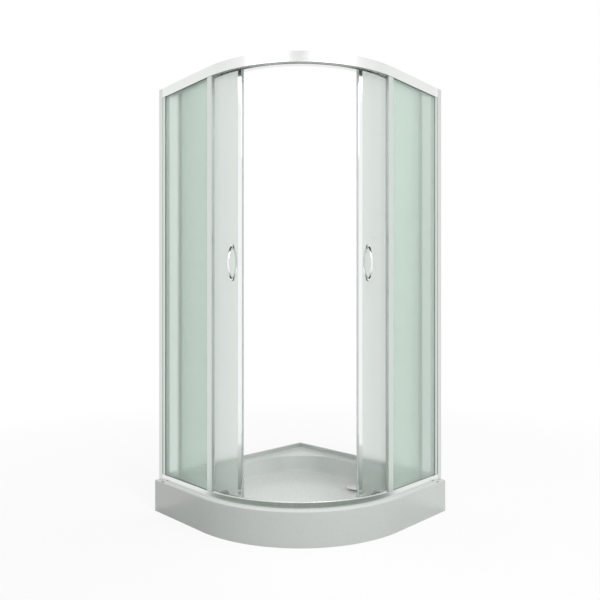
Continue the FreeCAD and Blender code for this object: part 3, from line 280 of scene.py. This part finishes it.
plasticLooks = {
    "greyPlastic": {"light": (0.66, 0.68, 0.67), "dark": (0.57, 0.59, 0.58), "roughness": 0.36},
    "whitePlastic": {"light": (0.83, 0.84, 0.83), "dark": (0.76, 0.77, 0.76), "roughness": 0.38},
    "blackPlastic": {"light": (0.05, 0.05, 0.055), "dark": (0.02, 0.02, 0.025), "roughness": 0.55,
                     "gloss": 0.0},
    "nylon": {"light": (0.86, 0.87, 0.85), "dark": (0.78, 0.79, 0.77), "roughness": 0.42,
              "grainScale": 600, "relief": 0.15},
    "rubber": {"light": (0.09, 0.09, 0.09), "dark": (0.04, 0.04, 0.042), "roughness": 0.66,
               "grainScale": 1400, "relief": 0.5},
}
mouldSkin = {"grainScale": 900, "grainDetail": 2.0, "cloudScale": 24.0, "cloudDetail": 4.0,
             "spread": 0.16, "gloss": 0.5, "relief": 0.25, "depth": 0.00015}


def mouldedPlastic(name):
    look = {**mouldSkin, **plasticLooks[name]}
    finish = Finish(name)
    grain = finish.noise(look["grainScale"], detail=look["grainDetail"])
    cloud = finish.noise(look["cloudScale"], detail=look["cloudDetail"])
    return finish.done({
        "Base Color": finish.blend(cloud, look["dark"], look["light"]),
        "Roughness": grain * look["spread"] + look["roughness"],
        "Specular IOR Level": look["gloss"],
        "Normal": finish.bump(grain, look["relief"], look["depth"])})


vinylLooks = {
    "clearVinyl": {"light": (0.80, 0.86, 0.82), "dark": (0.70, 0.78, 0.73), "roughness": 0.30,
                   "clear": 0.55},
    "greenVinyl": {"light": (0.26, 0.36, 0.29), "dark": (0.20, 0.29, 0.23), "roughness": 0.36,
                   "clear": 0.25},
}
vinylBody = {"index": 1.46, "cloudScale": 46.0, "stretch": (1, 1, 0.2), "cloudDetail": 4.0,
             "spread": 0.2, "relief": 0.15, "depth": 0.0003}


def softVinyl(name):
    look = {**vinylBody, **vinylLooks[name]}
    finish = Finish(name)
    cloud = finish.noise(look["cloudScale"], look["stretch"], look["cloudDetail"])
    return finish.done({
        "Base Color": finish.blend(cloud, look["dark"], look["light"]),
        "Roughness": cloud * look["spread"] + look["roughness"], "IOR": look["index"],
        "Transmission Weight": look["clear"],
        "Normal": finish.bump(cloud, look["relief"], look["depth"])})


# Satin glass: partly clear, partly white, with a fine etched grain
glassLooks = {
    "fixedGlass": {"light": (0.845, 0.96, 0.89), "dark": (0.81, 0.93, 0.86), "roughness": 0.16,
                   "clear": 0.78},
    "doorGlass": {"light": (0.83, 0.875, 0.84), "dark": (0.80, 0.85, 0.81), "roughness": 0.12,
                  "clear": 0.90},
}
glassBody = {"index": 1.5, "cloudScale": 3.0, "stretch": (1, 1, 0.6), "etchScale": 1500.0,
             "etchDetail": 2.0, "spread": 0.08, "relief": 0.08, "depth": 0.00006}


def satinGlass(name):
    look = {**glassBody, **glassLooks[name]}
    finish = Finish(name)
    cloud = finish.noise(look["cloudScale"], look["stretch"])
    etch = finish.noise(look["etchScale"], detail=look["etchDetail"])
    return finish.done({
        "Base Color": finish.blend(cloud, look["dark"], look["light"]),
        "Roughness": etch * look["spread"] + look["roughness"], "IOR": look["index"],
        "Transmission Weight": look["clear"],
        "Normal": finish.bump(etch, look["relief"], look["depth"])})


lyingGrain = (0.02, 0.02, 1)
uprightGrain = (1, 1, 0.02)
materials = {
    "rails": drawnAluminium("railAluminium", lyingGrain),
    "uprights": drawnAluminium("uprightAluminium", uprightGrain),
    "grey": drawnAluminium("greyAluminium", uprightGrain),
    "chrome": chromePlate("polishedChrome"),
    "satin": chromePlate("satinChrome"),
    "cover": chromePlate("brushedCover"),
    "zinc": zincSteel("zincSteel"),
    "acrylic": glossyAcrylic("glossyAcrylic"),
    "board": chipBoard("chipBoard"),
    "fittings": mouldedPlastic("greyPlastic"),
    "white": mouldedPlastic("whitePlastic"),
    "black": mouldedPlastic("blackPlastic"),
    "nylon": mouldedPlastic("nylon"),
    "rubber": mouldedPlastic("rubber"),
    "vinyl": softVinyl("clearVinyl"),
    "gasket": softVinyl("greenVinyl"),
    "fixedGlass": satinGlass("fixedGlass"),
    "doorGlass": satinGlass("doorGlass"),
}
# pieces by finish; most of them come in pairs, with _right or _left behind the name
finishOf = {
    "acrylic": ("tray_shell",),
    "board": ("tray_board",),
    "zinc": ("tray_frame", "foot_studs", "foot_nuts", "rail_screws", "adjust_screws",
             "handle_fixings"),
    "black": ("foot_pads", "rim_plugs"),
    "white": ("trap_body", "outlet_nut"),
    "cover": ("waste_cover",),
    "chrome": ("waste_flange", "handle_outer", "handle_inner", "leading_profile"),
    "satin": ("roller_screws",),
    "rubber": ("waste_gaskets",),
    "fittings": ("rail_end_blocks", "profile_caps", "roller_hubs"),
    "rails": ("top_rail", "bottom_rail"),
    "uprights": ("wall_profile", "post", "edge_profile"),
    # the trailing profile takes the darker aluminium copy, painted shade for the gap behind the
    # fixed glass
    "grey": ("trailing_profile",),
    "vinyl": ("rail_fillers", "edge_seal", "magnetic_seal"),
    "gasket": ("glass_gasket",),
    "nylon": ("wheel_top_front", "wheel_top_rear", "wheel_bottom_front", "wheel_bottom_rear"),
    "fixedGlass": ("fixed_glass",),
    "doorGlass": ("door_glass",),
}
dressed = 0
for finishName, kinds in finishOf.items():
    for kind in kinds:
        for nodeName in (kind, f"{kind}_right", f"{kind}_left"):
            if nodeName in nodes:
                nodes[nodeName].data.materials.clear()
                nodes[nodeName].data.materials.append(materials[finishName])
                dressed += 1
print("finishes on", dressed, "pieces")


# A Geometry Nodes tree whose sizes are named inputs
class Pattern(Graph):
    def __init__(self, name, sizes):
        super().__init__(bpy.data.node_groups.new(name, "GeometryNodeTree"))
        self.sizes = sizes
        self.addSocket("Geometry", "INPUT", "NodeSocketGeometry")
        self.addSocket("Geometry", "OUTPUT", "NodeSocketGeometry")
        for key, value in sizes.items():
            self.addSocket(key, "INPUT",
                           "NodeSocketInt" if isinstance(value, int) else "NodeSocketFloat")
        self.path = self.node("NodeGroupInput", {}, {}, "Geometry")

    def addSocket(self, name, way, kind):
        self.tree.interface.new_socket(name, in_out=way, socket_type=kind)

    def size(self, key):
        return self.node("NodeGroupInput", {}, {}, key)

    def vector(self, x, y, z):
        return self.node("ShaderNodeCombineXYZ", {}, {"X": x, "Y": y, "Z": z}, "Vector")

    def moved(self, shape, offset, turn=(0, 0, 0)):
        return self.node("GeometryNodeTransform", {}, {
            "Geometry": shape, "Translation": offset, "Rotation": turn}, "Geometry")

    def raised(self, shape, height):
        return self.moved(shape, self.vector(0.0, 0.0, height))

    def together(self, *shapes):
        return self.node("GeometryNodeJoinGeometry", {}, {"Geometry": list(shapes)}, "Geometry")

    def realized(self, shape):
        return self.node("GeometryNodeRealizeInstances", {}, {"Geometry": shape}, "Geometry")

    def ball(self, radius):
        return self.node("GeometryNodeMeshIcoSphere", {}, {"Radius": radius, "Subdivisions": 2},
                         "Mesh")

    def hoop(self, radius, steps):
        return self.node("GeometryNodeCurvePrimitiveCircle", {}, {
            "Resolution": steps, "Radius": radius}, "Curve")

    def swept(self, path, profile, caps=False):
        return self.node("GeometryNodeCurveToMesh", {}, {
            "Curve": path, "Profile Curve": profile, "Fill Caps": caps}, "Mesh")

    def ringOf(self, radius, thick, steps=40, beadSteps=8):
        # a round bead bent into a ring that lies flat
        return self.swept(self.hoop(radius, steps), self.hoop(thick, beadSteps))

    def copies(self, points, shape, **more):
        return self.node("GeometryNodeInstanceOnPoints", {}, {
            "Points": points, "Instance": shape, **more}, "Instances")

    def upright(self, shape):
        return self.copies(self.path, shape)

    def standing(self, shape):
        # one copy at every point, X hanging down and Z along the point's own outward direction
        outward = self.node("GeometryNodeInputNamedAttribute", {"data_type": "FLOAT_VECTOR"},
                            {"Name": "outward"}, "Attribute")
        hanging = self.node("FunctionNodeAlignRotationToVector", {"axis": "X"},
                            {"Vector": (0, 0, -1)}, "Rotation")
        turn = self.node("FunctionNodeAlignRotationToVector", {"axis": "Z", "pivot_axis": "X"},
                         {"Rotation": hanging, "Vector": outward}, "Rotation")
        return self.copies(self.path, shape, Rotation=turn)

    def close(self, shape, material):
        coated = self.node("GeometryNodeSetMaterial", {}, {
            "Geometry": self.realized(shape), "Material": material}, "Geometry")
        self.node("NodeGroupOutput", {}, {"Geometry": coated})

    def grow(self, name, places, body, slotName, edges=(), **changes):
        # places are pairs of a point and the direction that faces outward there
        mesh = bpy.data.meshes.new(name)
        mesh.from_pydata([Vector(spot) for spot, way in places], list(edges), [])
        outward = mesh.attributes.new("outward", "FLOAT_VECTOR", "POINT")
        for item, (spot, way) in zip(outward.data, places):
            item.vector = way
        piece = bpy.data.objects.new(name, mesh)
        scene.collection.objects.link(piece)
        modifier = piece.modifiers.new(name, "NODES")
        modifier.node_group = self.tree
        sizes = {**self.sizes, **changes}
        for socket in self.tree.interface.items_tree:
            if socket.in_out == "INPUT" and socket.name in sizes:
                modifier[socket.identifier] = sizes[socket.name]
        ready = piece.evaluated_get(bpy.context.evaluated_depsgraph_get())
        grown = bpy.data.meshes.new_from_object(ready)
        piece.modifiers.clear()
        piece.data = grown
        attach(piece, body)
        return piece


def polar(radius, angle):
    turn = math.radians(angle)
    return Vector((radius * math.cos(turn), radius * math.sin(turn), 0))


# How the right-hand door stands at rest: its two roller axles on the track, pushed open
doorPlan = {"curveAxis": (-0.1, 0.1, 0), "trackRadius": 0.466, "innerTrack": 0.462,
            "frontAngle": -34.0, "openAngle": 28.0, "rollerSpacing": 0.262, "faceRadius": 0.4975,
            "rearFace": 0.4925, "topAxle": 1.8363, "bottomAxle": 0.1489}
rearAngle = doorPlan["frontAngle"] + 2 * math.degrees(
    math.asin(doorPlan["rollerSpacing"] / 2 / doorPlan["trackRadius"]))
frontHome = polar(doorPlan["trackRadius"], doorPlan["frontAngle"])
rearHome = polar(doorPlan["trackRadius"], rearAngle)
frontOpen = polar(doorPlan["trackRadius"], doorPlan["frontAngle"] + doorPlan["openAngle"])
acrossTrack = doorPlan["innerTrack"] - frontOpen.x
alongTrack = math.sqrt(doorPlan["rollerSpacing"] ** 2 - acrossTrack ** 2)
rearOpen = Vector((doorPlan["innerTrack"], frontOpen.y + alongTrack, 0))
doorTurn = (rearOpen - frontOpen).xy.angle_signed((rearHome - frontHome).xy)
doorRest = (Matrix.Translation(Vector(doorPlan["curveAxis"]) + frontOpen)
            @ Matrix.Rotation(doorTurn, 4, "Z") @ Matrix.Translation(-frontHome))


def sideOf(side, vector):
    # the left-hand half mirrors the right-hand one in the upright plane through the back corner
    return Vector((-vector.y, -vector.x, vector.z)) if side == "left" else vector


def onDoor(side, angle, radius, height):
    # a point of a door and the direction straight out of the glass there
    spot = doorRest @ (polar(radius, angle) + Vector((0, 0, height)))
    return sideOf(side, spot), sideOf(side, doorRest.to_3x3() @ polar(1, angle))


axles = {"top_front": (doorPlan["frontAngle"], doorPlan["topAxle"]),
         "top_rear": (rearAngle, doorPlan["topAxle"]),
         "bottom_front": (doorPlan["frontAngle"], doorPlan["bottomAxle"]),
         "bottom_rear": (rearAngle, doorPlan["bottomAxle"])}


def rollerSpots(side, row, radius):
    # both rollers of the top or the bottom row
    return [onDoor(side, angle, radius, height)
            for name, (angle, height) in axles.items() if name.startswith(row)]


# Screws with a crowned head and a cross recess, in place of the plain ones
screwSizes = {"HeadRadius": 0.009, "HeadEdge": 0.0012, "HeadSteps": 40, "HeadRings": 6,
              "Crown": 0.001, "CrossLength": 0.0064, "CrossWidth": 0.0013, "CrossDepth": 0.0011,
              "ShankRadius": 0.002, "ShankLength": 0.012, "ShankSteps": 20}
screw = Pattern("crossHeadScrew", screwSizes)
head = screw.node("GeometryNodeMeshCylinder", {"fill_type": "TRIANGLE_FAN"}, {
    "Vertices": screw.size("HeadSteps"), "Fill Segments": screw.size("HeadRings"),
    "Radius": screw.size("HeadRadius"), "Depth": screw.size("HeadEdge")}, "Mesh")
spot = screw.node("GeometryNodeInputPosition", {}, {}, "Position")
level = screw.node("ShaderNodeSeparateXYZ", {}, {"Vector": spot}, "Z")
flatSpot = screw.node("ShaderNodeVectorMath", {"operation": "MULTIPLY"}, {0: spot, 1: (1, 1, 0)},
                      "Vector")
fromAxis = screw.node("ShaderNodeVectorMath", {"operation": "LENGTH"}, {0: flatSpot}, "Value")
share = fromAxis / screw.size("HeadRadius")
isTop = screw.node("ShaderNodeMath", {"operation": "GREATER_THAN"}, {0: level, 1: 0.0})
lift = (1 - share * share) * screw.size("Crown") * isTop
head = screw.node("GeometryNodeSetPosition", {}, {
    "Geometry": head, "Offset": screw.vector(0.0, 0.0, lift)}, "Geometry")
bar = screw.node("GeometryNodeMeshCube", {}, {"Size": screw.vector(
    screw.size("CrossLength"), screw.size("CrossWidth"), screw.size("CrossDepth") * 2)}, "Mesh")
bar = screw.raised(bar, screw.size("HeadEdge") * 0.5 + screw.size("Crown"))
across = screw.moved(bar, (0, 0, 0), (0, 0, math.pi / 2))
for slit in (bar, across):
    head = screw.node("GeometryNodeMeshBoolean", {"operation": "DIFFERENCE", "solver": "EXACT"}, {
        "Mesh 1": head, "Mesh 2": slit}, "Mesh")
head = screw.raised(head, screw.size("HeadEdge") * 0.5)
shank = screw.node("GeometryNodeMeshCylinder", {}, {
    "Vertices": screw.size("ShankSteps"), "Radius": screw.size("ShankRadius"),
    "Depth": screw.size("ShankLength")}, "Mesh")
shank = screw.raised(shank, screw.size("ShankLength") * -0.5)
screw.close(screw.standing(screw.together(head, shank)), materials["satin"])
for side in sides:
    seats = [onDoor(side, angle, doorPlan["faceRadius"], height)
             for angle, height in axles.values()]
    made = screw.grow(f"roller_screw_heads_{side}", seats, f"door_{side}", "chrome")
    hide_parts(f"roller_screws_{side}")
sideScrews = {"face": 0.3995, "along": 0.433, "levels": (0.3, 0.9925, 1.685),
              "sizes": {"HeadRadius": 0.004, "CrossLength": 0.0042, "CrossWidth": 0.0009,
                        "ShankLength": 0.006}}
seats = [(sideOf(side, Vector((sideScrews["face"], sideScrews["along"], level))),
          sideOf(side, Vector((-1, 0, 0)))) for side in sides for level in sideScrews["levels"]]
made = screw.grow("adjust_screw_heads", seats, "frame", "zinc_steel", **sideScrews["sizes"])
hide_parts("adjust_screws")
print("screws made")

# Wheels: a ring of balls between two races on both faces
wheelSizes = {"Balls": 11, "BallRing": 0.0078, "BallRadius": 0.0011, "BallSink": 0.0008,
              "Race": 0.00035, "OuterRace": 0.0013, "InnerRace": 0.0011, "HalfWidth": 0.0039}
race = Pattern("wheelBearing", wheelSizes)
ballSpots = race.node("GeometryNodeMeshCircle", {}, {
    "Vertices": race.size("Balls"), "Radius": race.size("BallRing")}, "Mesh")
balls = race.copies(ballSpots, race.ball(race.size("BallRadius")))
balls = race.raised(balls, race.size("HalfWidth") - race.size("BallSink"))
rings = race.together(
    race.ringOf(race.size("BallRing") + race.size("OuterRace"), race.size("Race")),
    race.ringOf(race.size("BallRing") - race.size("InnerRace"), race.size("Race")))
facing = race.together(balls, race.raised(rings, race.size("HalfWidth")))
both = race.together(facing, race.moved(facing, (0, 0, 0), (math.pi, 0, 0)))
race.close(race.standing(both), materials["zinc"])
for side in sides:
    for axleName, (angle, height) in axles.items():
        centre = onDoor(side, angle, doorPlan["trackRadius"], height)
        race.grow(f"bearing_{axleName}_{side}", [centre], f"wheel_{axleName}_{side}", "steel_pin")
print("bearings made")

# Soft washers under the handle bosses, on both faces of the glass
washerSizes = {"Radius": 0.0066, "Thick": 0.0006}
washer = Pattern("softWasher", washerSizes)
washer.close(washer.standing(washer.ringOf(washer.size("Radius"), washer.size("Thick"))),
             materials["rubber"])
handlePlan = {"angle": -39.3, "levels": (1.003, 1.131), "washerOut": 0.0005, "washerIn": 0.0006}
for side in sides:
    seats = [onDoor(side, handlePlan["angle"], face, level)
             for face in (doorPlan["faceRadius"] + handlePlan["washerOut"],
                          doorPlan["rearFace"] - handlePlan["washerIn"])
             for level in handlePlan["levels"]]
    washer.grow(f"handle_washers_{side}", seats, f"door_{side}", "rubber")

# Guard plates over the top rollers, which hang below the rail, and washers under the lower screws
guardSizes = {"Radius": 0.012, "Drop": 0.0095, "Thick": 0.0011, "Steps": 48, "Round": 0.0004,
              "RimInset": 0.0006}
rollerWasher = {"out": 0.0006, "sizes": {"Radius": 0.0106, "Thick": 0.0009}}
guard = Pattern("rollerGuard", guardSizes)
line = guard.node("GeometryNodeCurvePrimitiveLine", {}, {
    "Start": (0.0, 0.0, 0.0), "End": guard.vector(guard.size("Drop"), 0.0, 0.0)}, "Curve")
disc = guard.node("GeometryNodeMeshCylinder", {"fill_type": "NGON"}, {
    "Vertices": guard.size("Steps"), "Radius": guard.size("Radius"),
    "Depth": guard.size("Thick")}, "Mesh")
ends = guard.node("GeometryNodeCurveToPoints", {"mode": "COUNT"}, {"Curve": line, "Count": 2},
                  "Points")
discs = guard.realized(guard.copies(ends, disc))
plate = guard.node("GeometryNodeConvexHull", {}, {"Geometry": discs}, "Convex Hull")
plate = guard.raised(plate, guard.size("Thick") * 0.5)
rim = guard.ringOf(guard.size("Radius") - guard.size("RimInset"), guard.size("Round"),
                   guard.size("Steps"))
rim = guard.moved(rim, guard.vector(guard.size("Drop"), 0.0, guard.size("Thick")))
guard.close(guard.standing(guard.together(plate, rim)), materials["gasket"])
for side in sides:
    guard.grow(f"roller_guards_{side}", rollerSpots(side, "top", doorPlan["faceRadius"]),
               f"door_{side}", "grey_plastic")
    lower = rollerSpots(side, "bottom", doorPlan["faceRadius"] + rollerWasher["out"])
    made = washer.grow(f"roller_washers_{side}", lower, f"door_{side}", "clear_vinyl",
                       **rollerWasher["sizes"])
    made.data.materials[0] = materials["vinyl"]
print("washers and guards made")

# The rounded lip on the outer edge of the bottom rail, between the two edge profiles
lipSizes = {"Radius": 0.5272, "Start": math.radians(-85.6), "Sweep": math.radians(81.2),
            "Steps": 120, "Bead": 0.0027, "BeadSteps": 12}
lipHeight = 0.1617
lip = Pattern("railLip", lipSizes)
lipPath = lip.node("GeometryNodeCurveArc", {"mode": "RADIUS"}, {
    "Resolution": lip.size("Steps"), "Radius": lip.size("Radius"),
    "Start Angle": lip.size("Start"), "Sweep Angle": lip.size("Sweep")}, "Curve")
lipBead = lip.hoop(lip.size("Bead"), lip.size("BeadSteps"))
lip.close(lip.upright(lip.swept(lipPath, lipBead, True)), materials["rails"])
lipMiddle = (doorPlan["curveAxis"][0], doorPlan["curveAxis"][1], lipHeight)
lip.grow("rail_lip", [(lipMiddle, (0, 0, 1))], "frame", "satin_aluminium")
print("rail lip made")

# Threads on the feet
feetPlan = {"spots": ((-0.25, 0.28), (-0.25, -0.24), (-0.02, 0.28), (-0.02, -0.24),
                      (0.25, 0.28), (0.25, -0.12)), "foot": 0.0085}
threadSizes = {"Radius": 0.00485, "Ridge": 0.00045, "Length": 0.0138, "Turns": 11.0,
               "TurnSteps": 24, "RidgeSides": 5}
thread = Pattern("footThread", threadSizes)
helix = thread.node("GeometryNodeCurveSpiral", {}, {
    "Resolution": thread.size("TurnSteps"), "Rotations": thread.size("Turns"),
    "Start Radius": thread.size("Radius"), "End Radius": thread.size("Radius"),
    "Height": thread.size("Length")}, "Curve")
ridge = thread.hoop(thread.size("Ridge"), thread.size("RidgeSides"))
thread.close(thread.upright(thread.swept(helix, ridge, True)), materials["zinc"])
feet = [((x, y, feetPlan["foot"]), (0, 0, 1)) for x, y in feetPlan["spots"]]
thread.grow("foot_threads", feet, "frame", "zinc_steel")

# Weld beads round three sides of every joint of the support frame
weldPlan = {"faces": (-0.2395, -0.0305, -0.0095, 0.2395), "half": 0.0105, "head": 0.047,
            "foot": 0.0288}
weldSizes = {"Bead": 0.0013, "Step": 0.0017, "Least": 0.85, "Most": 1.2, "Seed": 4}
weld = Pattern("weldSeam", weldSizes)
seam = weld.node("GeometryNodeMeshToCurve", {}, {"Mesh": weld.path}, "Curve")
seamSpots = weld.node("GeometryNodeCurveToPoints", {"mode": "LENGTH"}, {
    "Curve": seam, "Length": weld.size("Step")}, "Points")
swell = weld.node("FunctionNodeRandomValue", {"data_type": "FLOAT"}, {
    "Min": weld.size("Least"), "Max": weld.size("Most"), "Seed": weld.size("Seed")}, "Value")
weld.close(weld.copies(seamSpots, weld.ball(weld.size("Bead")), Scale=swell), materials["zinc"])
seamPath, seamEdges = [], []
for face in weldPlan["faces"]:
    first = len(seamPath)
    for y, z in ((-weldPlan["half"], weldPlan["head"]), (-weldPlan["half"], weldPlan["foot"]),
                 (weldPlan["half"], weldPlan["foot"]), (weldPlan["half"], weldPlan["head"])):
        seamPath.append(((face, y, z), (0, 0, 1)))
    seamEdges += [(first, first + 1), (first + 1, first + 2), (first + 2, first + 3)]
weld.grow("frame_welds", seamPath, "frame", "zinc_steel", edges=seamEdges)
print("threads and welds made")

# Two raised rings on the lift-off cover of the waste
coverSizes = {"Outer": 0.034, "OuterSteps": 64, "Inner": 0.013, "Bead": 0.0007, "Rise": 0.0004}
coverTop = (0.103, 0.26, 0.0722)
cover = Pattern("coverRings", coverSizes)
outerRing = cover.ringOf(cover.size("Outer"), cover.size("Bead"), cover.size("OuterSteps"))
innerRing = cover.ringOf(cover.size("Inner"), cover.size("Bead"))
innerRing = cover.raised(innerRing, cover.size("Rise"))
cover.close(cover.upright(cover.together(outerRing, innerRing)), materials["cover"])
cover.grow("waste_cover_rings", [(coverTop, (0, 0, 1))], "waste_cover", "chrome")
print("cover rings made")

# Studio: a pale floor and a white surround, which light the object less than they glow
studio = {"floorSize": 14.0, "floorTone": 0.92, "floorGlow": 0.80, "glowFrom": 0.12,
          "glowTo": 0.45, "ambient": 0.55}
white = (1.0, 1.0, 1.0, 1.0)
seenRays = ("Is Camera Ray", "Is Glossy Ray", "Is Transmission Ray")
world = bpy.data.worlds.new("studioWorld")
scene.world = world
world.use_nodes = True
sky = Graph(world.node_tree)
strength = sky.anyRay(*seenRays) * (1.0 - studio["ambient"]) + studio["ambient"]
surround = sky.node("ShaderNodeBackground", {}, {"Color": white, "Strength": strength},
                    "Background")
sky.node("ShaderNodeOutputWorld", {}, {"Surface": surround})

half = studio["floorSize"] / 2
floorFinish = Finish("paleFloor")
matt = floorFinish.node("ShaderNodeBsdfDiffuse", {}, {"Color": (*[studio["floorTone"]] * 3, 1.0)},
                        "BSDF")
glowing = floorFinish.ramp(floorFinish.fromMiddle(half), [
    (studio["glowFrom"], studio["floorGlow"]), (studio["glowTo"], 1.0)])
floorFinish.show(floorFinish.node("ShaderNodeMixShader", {}, {
    0: floorFinish.anyRay(*seenRays) * glowing, 1: matt, 2: floorFinish.glow(white)}, "Shader"))


def flatSheet(name, corners, material):
    # a single four-cornered face of the studio, not part of the object
    mesh = bpy.data.meshes.new(name)
    mesh.from_pydata([Vector(corner) for corner in corners], [], [(0, 1, 2, 3)])
    mesh.materials.append(material)
    sheet = bpy.data.objects.new(name, mesh)
    scene.collection.objects.link(sheet)
    return sheet


def lying(left, front, right, back, height):
    return [(left, front, height), (right, front, height), (right, back, height),
            (left, back, height)]


def upended(start, end, foot, top):
    return [(*start, foot), (*end, foot), (*end, top), (*start, top)]


flatSheet("floor", lying(-half, -half, half, half, 0), floorFinish.material)

# Lamps: a high key from the right, a panel before each straight side, which draws a white zone
# on the rails, and a soft light from above
lamps = {
    "keyLight": {"place": (2.6, -1.2, 4.6), "target": (0.1, -0.1, 0.7), "size": 2.4,
                 "power": 80.0},
    "rightPanel": {"place": (2.75, -0.8, 2.85), "target": (0.1, -0.1, 1.2), "size": 1.7,
                   "power": 8.0},
    "leftPanel": {"place": (0.8, -2.75, 2.85), "target": (0.1, -0.1, 1.2), "size": 1.7,
                  "power": 7.0},
    "topLight": {"place": (0.1, -0.1, 3.2), "target": (0, 0, 0), "size": 2.2, "power": 24.0},
}
for name, setup in lamps.items():
    lamp = bpy.data.lights.new(name, "AREA")
    lamp.shape = "DISK"
    lamp.size = setup["size"]
    lamp.energy = setup["power"]
    holder = bpy.data.objects.new(name, lamp)
    scene.collection.objects.link(holder)
    aim = Vector(setup["target"]) - Vector(setup["place"])
    holder.location = setup["place"]
    holder.rotation_euler = aim.to_track_quat("-Z", "Y").to_euler()


def card(name, corners, rays, colour):
    # a sheet that only the named rays see; colour makes its tone from the sheet's finish
    finish = Finish(name)
    sheet = flatSheet(name, corners, finish.show(finish.glow(colour(finish))))
    for ray in ("camera", "glossy", "diffuse", "transmission", "volume_scatter", "shadow"):
        setattr(sheet, f"visible_{ray}", ray in rays)


# Cards for the metal's reflections: each has one tone near the middle and one at its edge
mirrorCards = {
    "floor": {"reach": 1.9, "height": 0.001, "middle": (0.19, 0.235, 0.195),
              "edge": (0.75, 0.75, 0.75)},
    "sky": {"reach": 2.6, "height": 3.3, "middle": (0.06, 0.06, 0.06), "edge": (0.3, 0.3, 0.3)},
    "wall": {"reach": 2.2, "gap": 0.01, "over": 0.3, "middle": (0.95, 0.96, 0.95),
             "edge": (0.93, 0.94, 0.93)},
}
fade = [(0.45, 0.0), (1.0, 1.0)]
openX, openY = cadBox[0][0], cadBox[1][1]  # the planes of the two open sides
top = cadBox[1][2] + mirrorCards["wall"]["over"]


def mirrorCard(name, corners, setup):
    def colour(finish):
        share = finish.ramp(finish.fromMiddle(setup["reach"]), fade)
        return finish.blend(share, setup["middle"], setup["edge"])
    card(name, corners, ("glossy",), colour)


floorCard, skyCard, wallCard = (mirrorCards[part] for part in ("floor", "sky", "wall"))
mirrorCard("floorFlag", lying(openX, -floorCard["reach"], floorCard["reach"], openY,
                              floorCard["height"]), floorCard)
mirrorCard("skyFlag", lying(-skyCard["reach"], -skyCard["reach"], skyCard["reach"],
                            skyCard["reach"], skyCard["height"]), skyCard)
mirrorCard("rightWallCard", upended((cadBox[1][0] + wallCard["gap"], openY),
                                    (wallCard["reach"], openY), 0, top), wallCard)
mirrorCard("leftWallCard", upended((openX, cadBox[0][1] - wallCard["gap"]),
                                   (openX, -wallCard["reach"]), 0, top), wallCard)

# Cards that only the view through the glass sees, which paint shade into it; each stop is a place
# across the front, in metres from the middle plus 0.5, and the tone there (below 1 is painted
# shade)
glassCards = {
    "from": 0.1, "behind": 0.001,
    "right": [(0.40, 1.0), (0.57, 0.82), (0.67, 0.96), (0.80, 1.0), (0.825, 0.60)],
    "left": [(0.40, 1.0), (0.57, 0.86), (0.67, 0.98), (0.80, 1.0), (0.825, 0.90)],
}
rightPlane = openY + glassCards["behind"]
leftPlane = openX - glassCards["behind"]
card("beyondRight", upended((-glassCards["from"], rightPlane), (openY, rightPlane), 0, top),
     ("transmission",), lambda finish: finish.ramp(finish.along("X") + 0.5, glassCards["right"]))
card("beyondLeft", upended((leftPlane, glassCards["from"]), (leftPlane, openX), 0, top),
     ("transmission",), lambda finish: finish.ramp(0.5 - finish.along("Y"), glassCards["left"]))

# A black card that takes light from the left side, and small ones, seen only in reflections, that
# paint dark reflected streaks at the ends of the polished handles
blackTone = (0.02, 0.02, 0.02, 1.0)
darkSide = {"from": -2.2, "to": 1.0, "front": -2.05, "top": 1.5}
card("darkSide", upended((darkSide["from"], darkSide["front"]),
                         (darkSide["to"], darkSide["front"]), 0, darkSide["top"]),
     ("diffuse", "shadow"), lambda finish: blackTone)
darkReflectionStreaks = {"inner": 0.478, "outer": 0.545, "turn": 7.0, "beyond": 0.04}
lowest, highest = handlePlan["levels"]
for side in sides:
    for end, level in (("foot", lowest - darkReflectionStreaks["beyond"]), ("head", highest + darkReflectionStreaks["beyond"])):
        corners = [onDoor(side, handlePlan["angle"] + turn, radius, level)[0]
                   for turn, radius in ((0, darkReflectionStreaks["inner"]), (darkReflectionStreaks["turn"], darkReflectionStreaks["inner"]),
                                        (darkReflectionStreaks["turn"], darkReflectionStreaks["outer"]),
                                        (0, darkReflectionStreaks["outer"]))]
        card(f"handleFlag_{end}_{side}", corners, ("glossy",), lambda finish: blackTone)

# Camera: on the diagonal in front of the curved doors, a little below the handles
cameraSetup = {"distance": 2.5982, "height": 0.8911, "lens": 35.53, "sensor": 36.0,
               "lift": 0.0125, "sideways": -0.0003}
lens = bpy.data.cameras.new("camera")
camera = bpy.data.objects.new("camera", lens)
scene.collection.objects.link(camera)
reach = cameraSetup["distance"] / math.sqrt(2)
camera.location = (reach, -reach, cameraSetup["height"])
camera.rotation_euler = Vector((-1, 1, 0)).to_track_quat("-Z", "Y").to_euler()
lens.sensor_width = cameraSetup["sensor"]
lens.lens = cameraSetup["lens"]
lens.shift_x = cameraSetup["sideways"]
lens.shift_y = cameraSetup["lift"]
scene.camera = camera
scene.view_settings.view_transform = "Standard"
print("studio and camera ready")
